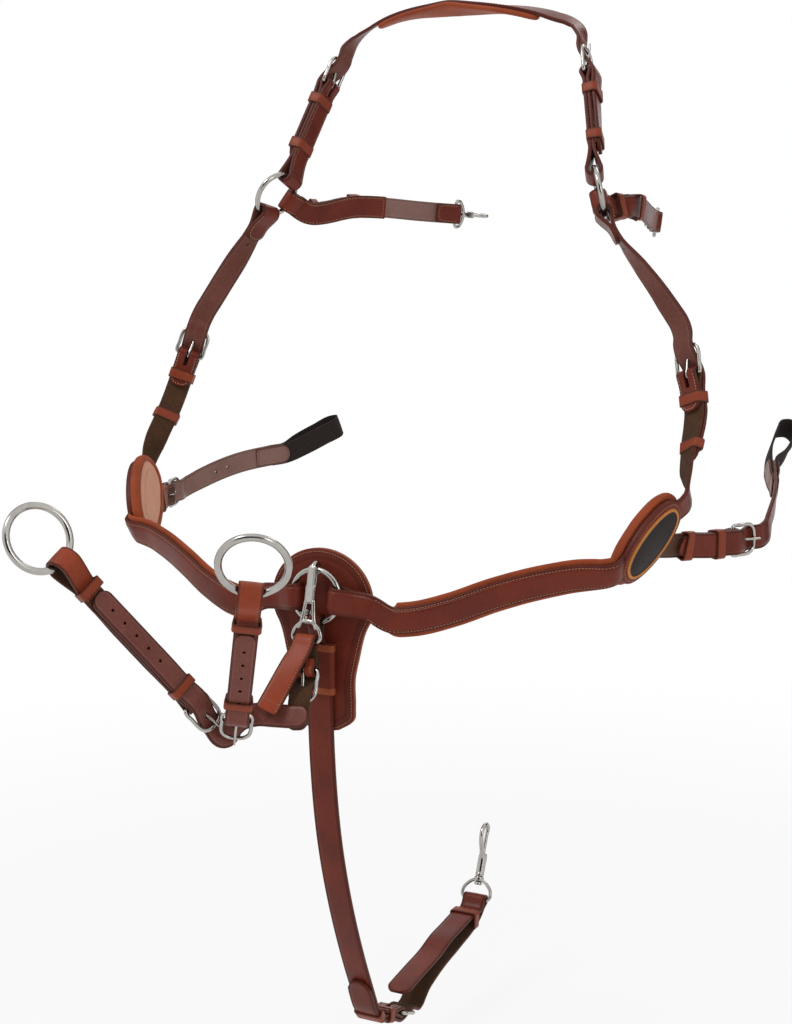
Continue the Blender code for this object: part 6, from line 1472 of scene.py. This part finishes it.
class BREASTPLATE_OT_linings(bpy.types.Operator):
    """Makes the padded strip at the withers and those behind the breast straps"""

    bl_idname = "breastplate.linings"
    bl_label = "Padded linings"

    def execute(self, context):
        line = self.strip("wither_pad", "wither_strap", 16 * MM, (-6.6 * MM, -0.9 * MM), (12 * MM, 12 * MM), 2.4 * MM)
        ends = (8 * MM, line.length - 8 * MM)
        sew("wither_pad_stitches", "wither_strap",
            [stitches(line, [(s, x) for s in ends]) for x in (-8.9 * MM, 8.9 * MM)])
        for side in ("left", "right"):
            self.strip(side + "_breast_lining", side + "_shoulder_pad", 15 * MM, (-7.0 * MM, -1.96 * MM),
                       (10 * MM, 4 * MM), 2.0 * MM)
        return {"FINISHED"}

    def strip(self, name, node, half, heights, ends, round_ends):
        line = Line(ROUTES[name]).round_ends(*ends, half)
        piece = sweep(name, line, padded_section(half, *heights), looks_of("lining"), round_ends)
        settle(piece, node)
        return line


class BREASTPLATE_OT_shoulders(bpy.types.Operator):
    """Makes the shoulder pads with their leather facings, bare badges and sewing"""

    bl_idname = "breastplate.shoulders"
    bl_label = "Shoulder pads"

    def execute(self, context):
        outline, face, oval = leaf(60, 92), leaf(54, 84), leaf(40, 72, taper=0)
        for side, name, soft in ((-1, "left", "pale_lining"), (1, "right", "lining")):
            frame, node = pad_frame(side), name + "_shoulder_facing"
            looks = looks_of("lining", "edge", "facing", soft)
            pad = pillow(name + "_shoulder_pad", frame, outline, SHOULDER_PAD, looks, 0.25 * MM, side)
            settle(pad, name + "_shoulder_pad")
            rows = FACING + dome(4.4, 24, 6.45, 0.75, 2)
            settle(pillow(node, frame, face, rows, looks), node)
            rows = BADGE + dome(2.8, 18, 7.6, 0.75, 1)
            settle(pillow(name + "_badge", frame, oval, rows, looks_of("rim", "badge")), node)
            rows = [outline_stitches(frame, face, 3.1, 6.3), outline_stitches(frame, outline, 6.2, -8.85)]
            sew(name + "_shoulder_stitches", node, rows)
        return {"FINISHED"}


class BREASTPLATE_OT_centre(bpy.types.Operator):
    """Makes the keyhole pad behind the ring and the wide band that holds the belly strap to it"""

    bl_idname = "breastplate.centre"
    bl_label = "Centre pad"

    def execute(self, context):
        outline, node = keyhole(), "centre_pad"
        pad = pillow(node, CENTRE_FRAME, outline, CENTRE_PAD, looks_of("lining", "pad_edge", "facing"))
        settle(pad, node)
        rows = [(0, -2540, z, 0, -100, 0) for z in (-5540, -5760, -5980)]
        looks = looks_of("facing", "suede", "pad_edge")
        band = keeper_loop("centre_band", 31.6 * MM, -1.0 * MM, 8.6 * MM, rows, looks, 2.2 * MM, 3.0 * MM)
        settle(band, node)
        sew("centre_stitches", node, [outline_stitches(CENTRE_FRAME, outline, 3, 0)])
        return {"FINISHED"}


class BREASTPLATE_OT_buckles(bpy.types.Operator):
    """Makes the buckles: their wire frames and tongues"""

    bl_idname = "breastplate.buckles"
    bl_label = "Buckles"

    def execute(self, context):
        for name, seat in SEATS.items():
            self.wire(name + "_buckle", seat)
            self.tongue(name + "_tongue", seat)
        return {"FINISHED"}

    def wire(self, node, seat):
        half, bend = seat.width / 2 + GAP * 2 + BUCKLE_WIRE / 2, 9 * MM
        side = [(0, half - 2 * MM), (0.6 * MM, half - 0.6 * MM), (2 * MM, half), (9 * MM, half)]
        for turn in (0, 22, 45, 68, 90):
            angle = math.radians(turn)
            side.append((BUCKLE_LENGTH - bend + bend * math.sin(angle), half - bend + bend * math.cos(angle)))
        other = [(a, -c) for a, c in reversed(side)]
        points = [seat.point(a, 0, c) for a, c in other[-1:] + [(0, 0)] + side + other[:-1]]
        settle(tube(node, smooth_path(points, True, 5), BUCKLE_WIRE / 2, True, 24), node)

    def tongue(self, node, seat):
        """The tongue, which hooks round the heel bar and rests on the front bar."""
        rest = HOOK + GAP
        path = [(HOOK * math.cos(math.radians(t)), HOOK * math.sin(math.radians(t))) for t in range(70, 271, 25)]
        path += [(6 * MM, -HOOK * 0.62), (14 * MM, -0.2 * MM), (21 * MM, rest * 0.62), (BUCKLE_LENGTH, rest),
                 (BUCKLE_LENGTH + 4 * MM, rest + 0.6 * MM)]
        path = smooth_path([seat.point(a, o) for a, o in path], parts=5)
        taper = (1, 1, 1, 1, 1, 1.05, 1.05, 1.0, 0.9, 0.72)
        settle(tube(node, path, TONGUE_WIRE / 2, sides=18, taper=taper), node)


class BREASTPLATE_OT_rings(bpy.types.Operator):
    """Makes the rings"""

    bl_idname = "breastplate.rings"
    bl_label = "Rings"

    def execute(self, context):
        for name, (middle, axis, outer, wire) in RINGS.items():
            path = circle(Vector(middle), Vector(axis).normalized(), (outer - wire) / 2, 112)
            settle(tube(name, path, wire / 2, True, 28), name)
        return {"FINISHED"}


class Snap(Stand):
    """A trigger snap: the eye's bar is at its place and the hook is ahead of it. Sizes in millimetres."""

    inner = 22 * MM

    def __init__(self, place, ahead, out, height, reach, bend):
        super().__init__(place, ahead, out)
        self.height, self.reach, self.bend = height * MM, reach * MM, bend * MM
        self.top = self.reach - self.bend - SNAP_WIRE / 2
        self.pivot = self.point(self.height + 7 * MM, SNAP_WIRE / 2 * 1.3 + GAP + BOSS)


SNAPS = {
    "left_saddle": Snap((-0.057, 0.124, -0.186), (0.1908, 0.9811, -0.0334), (0.9785, -0.1928, -0.0727), 13, 46, 5.2),
    "right_saddle": Snap((0.152, 0.148, -0.194), (-0.3327, 0.9374, -0.103), (-0.9397, -0.3203, 0.1198), 13, 46, 5.2),
    "martingale": Snap((0.0, -0.28, -0.547), (0.0, 0.1913, 0.9815), (0.0, 0.9815, -0.1913), 17, 68.86, 5.4),
}


def snap_eye(stand, inner, height):
    half = inner / 2 + EYE_WIRE / 2
    side = [(0, 0.5), (0, 0.86), (0.10, 1.0), (0.45, 1.0), (0.75, 0.72), (0.95, 0.34)]
    outline = [(0, 0)] + side + [(1, 0)] + [(a, -c) for a, c in reversed(side)]
    path = smooth_path([stand.point(height * a, 0, half * c) for a, c in outline], True, 5)
    return tube("eye", path, EYE_WIRE / 2, True)


def snap_parts(snap, flat):
    """The eye, the shank and the hook, the cheeks that hold the gate's pin, and the pin."""
    r, top = snap.bend, snap.top
    path = [(snap.height - 1 * MM, 0), (snap.height + 7 * MM, 0), (top * 0.8, 0), (top, 0)]
    for turn in range(30, 181, 30):
        angle = math.radians(turn)
        path.append((top + r * math.sin(angle), r - r * math.cos(angle)))
    path.append((top - 3 * MM, 2 * r))
    taper = (1.28, 1.3, 1.06, 1.0, 1.0, 1.0, 1.0, 0.97, 0.92, 0.85, 0.68)
    if flat:
        path, taper = path[2:], (0.72, 0.9) + taper[4:]
    path = smooth_path([snap.point(a, o) for a, o in path])
    parts = [tube("shank", path, SNAP_WIRE / 2, sides=24, taper=taper, caps=0.9),
             snap_eye(snap, snap.inner, snap.height)]
    gap, cheek = GATE / 2 + GAP, 1.4 * MM
    for side in (-1, 1):
        middle = snap.pivot - snap.out * 1.6 * MM + snap.across * side * (gap + cheek / 2)
        parts.append(metal(block(middle, snap.axes(), (5.2 * MM, cheek, 6.6 * MM), 0.45 * MM)))
        parts.append(metal(rod(snap.pivot + snap.across * side * (gap + cheek), snap.across, 1.25 * MM, 0.5 * MM)))
    parts.append(metal(rod(snap.pivot, snap.across, PIN, 2 * (gap + cheek) - 0.2 * MM)))
    return parts


def window_shank(snap):
    """The martingale snap's flat body: two legs from the eye that join into one tapering blade."""
    parts, start, joint = [], snap.height, snap.height + 17 * MM
    for side in (-1, 1):
        leg = ((start * 0.62, 0, 8.6), (start - 0.5 * MM, 0, 6.2), (start + 6 * MM, 0.2, 5.0), (joint, 0.2, 3.6))
        path = smooth_path([snap.point(a, o * MM, side * c * MM) for a, o, c in leg])
        parts.append(tube("leg", path, 1.7 * MM, sides=18, taper=(1, 1.1, 1.05, 1.1)))
    foot = smooth_path([snap.point(start - 1 * MM, 0, c * MM) for c in (-6.5, 0, 6.5)], parts=4)
    parts.append(tube("foot", foot, 1.6 * MM, sides=18))
    for low, high, wide in ((joint - 2.5 * MM, joint + 14 * MM, 9.6), (joint + 9 * MM, snap.top + 3.2 * MM, 8.4)):
        size = (high - low, wide * MM, 3 * MM)
        parts.append(metal(block(snap.point((low + high) / 2, -0.8 * MM), snap.axes(), size, 1.2 * MM)))
    return parts


def snap_gate(name, snap):
    """The gate: a finger with a thumb rest and a boss round its pin."""
    pivot = snap.pivot
    tip = snap.point(snap.top - 3.4 * MM, 2 * snap.bend - SNAP_WIRE * 0.38 - GAP - 1.1 * MM)
    path = smooth_path([pivot.lerp(tip, share) for share in (0.04, 0.4, 0.75, 1)], parts=5)
    finger = tube("finger", path, 1.1 * MM, sides=16, caps=1.0)
    boss = metal(rod(pivot, snap.across, BOSS, GATE, 32))
    axes = ((tip - pivot).normalized(), snap.across, snap.out)
    thumb = metal(block(pivot.lerp(tip, 0.55) + snap.out * 0.5 * MM, axes, (5 * MM, 2.6 * MM, 2 * MM), 0.8 * MM))
    gate = fused(name, [finger, boss, thumb], 0.26 * MM, 2)
    carve(gate, look("steel"), rod(pivot, snap.across, PIN + GAP, 5 * MM))
    return gate


class BREASTPLATE_OT_snaps(bpy.types.Operator):
    """Makes the three trigger snaps with their gates"""

    bl_idname = "breastplate.snaps"
    bl_label = "Trigger snaps"

    def execute(self, context):
        for name, snap in SNAPS.items():
            flat = name == "martingale"
            parts = snap_parts(snap, flat) + (window_shank(snap) if flat else [])
            settle(fused(name + "_snap", parts, 0.36 * MM), name + "_snap")
            settle(snap_gate(name + "_gate", snap), name + "_gate")
        return {"FINISHED"}


# The girth snap's turned parts: distance along the axis and radius, in millimetres.

COLLAR = ((-2.5, 4.2), (-2.2, 4.9), (-1, 5.2), (1, 5.2), (2.2, 4.9), (2.5, 4.2))
POST_HEAD = ((-1.6, 3.4), (-1.2, 4.0), (0, 4.2), (1.2, 4.0), (1.6, 3.4))
BARREL = ((0, 3.9), (0.5, 4.5), (1.6, 4.6), (3.0, 4.6), (3.4, 4.2), (4.0, 4.2), (4.4, 4.6), (20.5, 4.6),
          (22.5, 4.3), (24, 3.6))
KNOB = ((0, 1.2), (5.4, 1.2), (5.8, 1.9), (6.6, 2.2), (7.4, 1.9), (7.8, 1.1))
GIRTH_HOOK = ((20, 3.2), (27, 5.5), (35, 11), (43, 13.5), (50, 11.5), (54, 6), (52.5, 1), (48, -0.4), (42.5, 0))


class BREASTPLATE_OT_girth_snap(bpy.types.Operator):
    """Makes the swivel bolt snap for the girth: eye, hook and sliding bolt"""

    bl_idname = "breastplate.girth_snap"
    bl_label = "Girth snap"

    stem, bolt, height = 2.6 * MM, 1.9 * MM, 20 * MM

    def execute(self, context):
        eye = Stand(Vector((0, 326, -384)) * MM - WITHERS, (0, 0.40, 0.916), (0, -0.916, 0.40))
        base = Stand(eye.point(self.height + 3 * MM + GAP, 0), eye.ahead, eye.out)
        for name, make in (("eye", self.eye), ("hook", self.hook), ("bolt", self.sliding_bolt)):
            node = "girth_snap_" + name
            settle(make(node, eye if name == "eye" else base), node)
        return {"FINISHED"}

    def eye(self, name, stand):
        top = stand.point(self.height + 0.5 * MM, 0)
        piece = fused(name, [snap_eye(stand, 27 * MM, self.height), turned_post(top, stand.ahead, COLLAR)], 0.36 * MM)
        carve(piece, look("steel"), rod(top, stand.ahead, self.stem + GAP, 12 * MM, 32))
        return piece

    def hook(self, name, base):
        ahead = base.ahead
        path = smooth_path([base.point(a * MM, o * MM) for a, o in GIRTH_HOOK], parts=8)
        wire = tube("hook", path, SNAP_WIRE / 2, sides=24, taper=(1.1, 1.1, 1.05, 1, 1, 1, 1, 0.95, 0.8))
        post = metal(rod(base.point(-2 * MM, 0), ahead, self.stem, 9 * MM, 32))
        head = turned_post(base.point(-7.6 * MM, 0), ahead, POST_HEAD)
        piece = fused(name, [post, head, turned_post(base.place, ahead, BARREL), wire], 0.36 * MM)
        slot = block(base.point(14 * MM, -4 * MM), base.axes(), (11 * MM, 3.2 * MM, 8 * MM), 0.3 * MM)
        carve(piece, look("steel"), rod(base.point(16 * MM, 0), ahead, self.bolt + GAP, 17 * MM, 32), slot)
        return piece

    def sliding_bolt(self, name, base):
        start, end = 14.5 * MM, 42.2 * MM
        shaft = metal(rod(base.point((start + end) / 2, 0), base.ahead, self.bolt, end - start, 32))
        knob = turned_post(base.point(17.4 * MM, -0.6 * MM), -base.out, KNOB)
        return fused(name, [shaft, knob], 0.3 * MM, 2)


# The stage

LAMPS = {"key": ((-1.3, -2.0, 2.4), 1.2, 0.9), "fill": ((2.4, -1.6, 0.7), 0.9, 1.1), "rim": ((0.6, 2.4, 1.8), 1.3, 0.8)}
CARDS = {"card_front": ((1.0, -2.9, 0.5), 3.6, 2.2), "card_left": ((-2.0, 0.9, 0.0), 1.3, 2.8),
         "card_right": ((1.3, 1.9, 0.0), 1.3, 2.8)}


class BREASTPLATE_OT_stage(bpy.types.Operator):
    """Lays the floor, sets the lamps and the sky, and places the camera where the photograph was taken"""

    bl_idname = "breastplate.stage"
    bl_label = "Stage"

    def execute(self, context):
        scene, stage = context.scene, context.scene.breastplate_stage
        scene.view_settings.view_transform = "Standard"
        self.plane("floor", self.floor_look(), 24, 4.0).location = (0, 0, stage.floor)
        self.sky(scene, stage)
        for name, (place, wide, high) in LAMPS.items():
            data = bpy.data.lights.new(name, "AREA")
            data.energy, data.shape, data.size, data.size_y = getattr(stage, name), "RECTANGLE", wide, high
            lamp = bpy.data.objects.new(name, data)
            self.aim(lamp, place)
            scene.collection.objects.link(lamp)
        for name, (place, wide, high) in CARDS.items():
            self.card(name, place, wide, high)
        self.camera(scene)
        return {"FINISHED"}

    def aim(self, thing, place):
        """Turns a lamp or a card to the middle of the breastplate."""
        thing.location = place
        thing.rotation_euler = (Vector((0, -0.2, -0.45)) - Vector(place)).to_track_quat("-Z", "Y").to_euler()

    def plane(self, name, material, parts, size, wide=1.0, high=1.0):
        bm = bmesh.new()
        bmesh.ops.create_grid(bm, x_segments=parts, y_segments=parts, size=size)
        bmesh.ops.scale(bm, vec=(wide, high, 1), verts=bm.verts[:])
        thing = mesh_object(name, bm, [material])
        return thing

    def card(self, name, place, wide, high):
        """A dark studio card that only reflections see."""
        made = Look("card", Roughness=0.9, Specular_IOR_Level=0.1)
        tone = made.mix(made.noise(4.0, 2.0), (0.02, 0.02, 0.02), (0.04, 0.04, 0.04))
        thing = self.plane(name, made.finish(tone, 0.9), 1, 0.5, wide, high)
        self.aim(thing, place)
        for word in ("camera", "diffuse", "transmission", "shadow", "volume_scatter"):
            setattr(thing, "visible_" + word, False)

    def floor_look(self):
        """White for the camera, and darker where the object's shadow lies."""
        made = Look("floor", Roughness=0.9, Specular_IOR_Level=0.1)
        made.finish(made.mix(made.noise(3.0, 3.0), (0.93, 0.93, 0.93), (0.96, 0.96, 0.96)), 0.9)
        far = made.node("ShaderNodeVectorMath", {"operation": "LENGTH"}, {0: made.place()}, "Value")
        share = made.seen() * far.between(0.5, 1.5, 0.86, 1.0)
        glow = made.node("ShaderNodeEmission", None, {"Color": (1, 1, 1, 1), "Strength": 1.0})
        both = made.node("ShaderNodeMixShader", None, {0: share, 1: Wire(made, made.shader.outputs[0]), 2: glow})
        made.feed(made.tree.nodes["Material Output"].inputs["Surface"], both)
        return made.material

    def sky(self, scene, stage):
        """An even light, and white where it is seen."""
        scene.world = bpy.data.worlds.new("sky")
        scene.world.use_nodes = True
        made = Tree(scene.world.node_tree)
        back = made.tree.nodes["Background"].inputs
        made.feed(back["Strength"], made.node("ShaderNodeMapRange", None, {0: made.seen(), 3: stage.world, 4: 1.0}))
        made.feed(back["Color"], (1, 1, 1, 1))

    def camera(self, scene):
        """The fitted camera: its direction, its distance and the middle of the picture, in millimetres."""
        away = Vector((0.4605, -0.8735, 0.158)).normalized()
        right = Vector((0.8846, 0.4664, 0)).normalized()
        up = away.cross(right)
        distance, shift_x, shift_z = 1554, 68.7, 71.8
        pixels_per_millimetre, photo_width, sensor = 1.165, 792, 36
        data = bpy.data.cameras.new("camera")
        data.sensor_fit, data.sensor_width = "HORIZONTAL", sensor
        data.lens = sensor * pixels_per_millimetre * distance / photo_width
        thing = bpy.data.objects.new("camera", data)
        place = (away * distance + right * shift_x + up * shift_z) * MM - WITHERS
        thing.matrix_world = Matrix.Translation(place) @ Matrix((right, up, away)).transposed().to_4x4()
        scene.collection.objects.link(thing)
        scene.camera = thing


class BREASTPLATE_PT_panel(bpy.types.Panel):
    """Lists the breastplate's steps, sizes, colours and light"""

    bl_idname = "BREASTPLATE_PT_panel"
    bl_label = "Breastplate"
    bl_space_type = "VIEW_3D"
    bl_region_type = "UI"
    bl_category = "Breastplate"

    def draw(self, context):
        for group, kind in GROUPS.items():
            box = self.layout.box()
            for word in kind.__annotations__:
                box.prop(getattr(context.scene, group), word)
        for step in STEPS:
            self.layout.operator(step.bl_idname)


STEPS = (BREASTPLATE_OT_straps, BREASTPLATE_OT_keepers, BREASTPLATE_OT_elastics, BREASTPLATE_OT_linings,
         BREASTPLATE_OT_shoulders, BREASTPLATE_OT_centre, BREASTPLATE_OT_buckles, BREASTPLATE_OT_rings,
         BREASTPLATE_OT_snaps, BREASTPLATE_OT_girth_snap, BREASTPLATE_OT_stage)
GROUPS = {"breastplate_sewing": BreastplateSewing, "breastplate_hides": BreastplateHides,
          "breastplate_metal": BreastplateMetal, "breastplate_stage": BreastplateStage}
CLASSES = tuple(GROUPS.values()) + STEPS + (BREASTPLATE_PT_panel,)


def register():
    for kind in CLASSES:
        bpy.utils.register_class(kind)
    for group, kind in GROUPS.items():
        setattr(bpy.types.Scene, group, bpy.props.PointerProperty(type=kind))


def unregister():
    for group in GROUPS:
        delattr(bpy.types.Scene, group)
    for kind in reversed(CLASSES):
        bpy.utils.unregister_class(kind)


def main():
    register()
    bpy.ops.breastplate.straps()
    bpy.ops.breastplate.keepers()
    bpy.ops.breastplate.elastics()
    bpy.ops.breastplate.linings()
    bpy.ops.breastplate.shoulders()
    bpy.ops.breastplate.centre()
    bpy.ops.breastplate.buckles()
    bpy.ops.breastplate.rings()
    bpy.ops.breastplate.snaps()
    bpy.ops.breastplate.girth_snap()
    bpy.ops.breastplate.stage()
    bpy.context.view_layer.update()


if __name__ == "__main__":
    main()
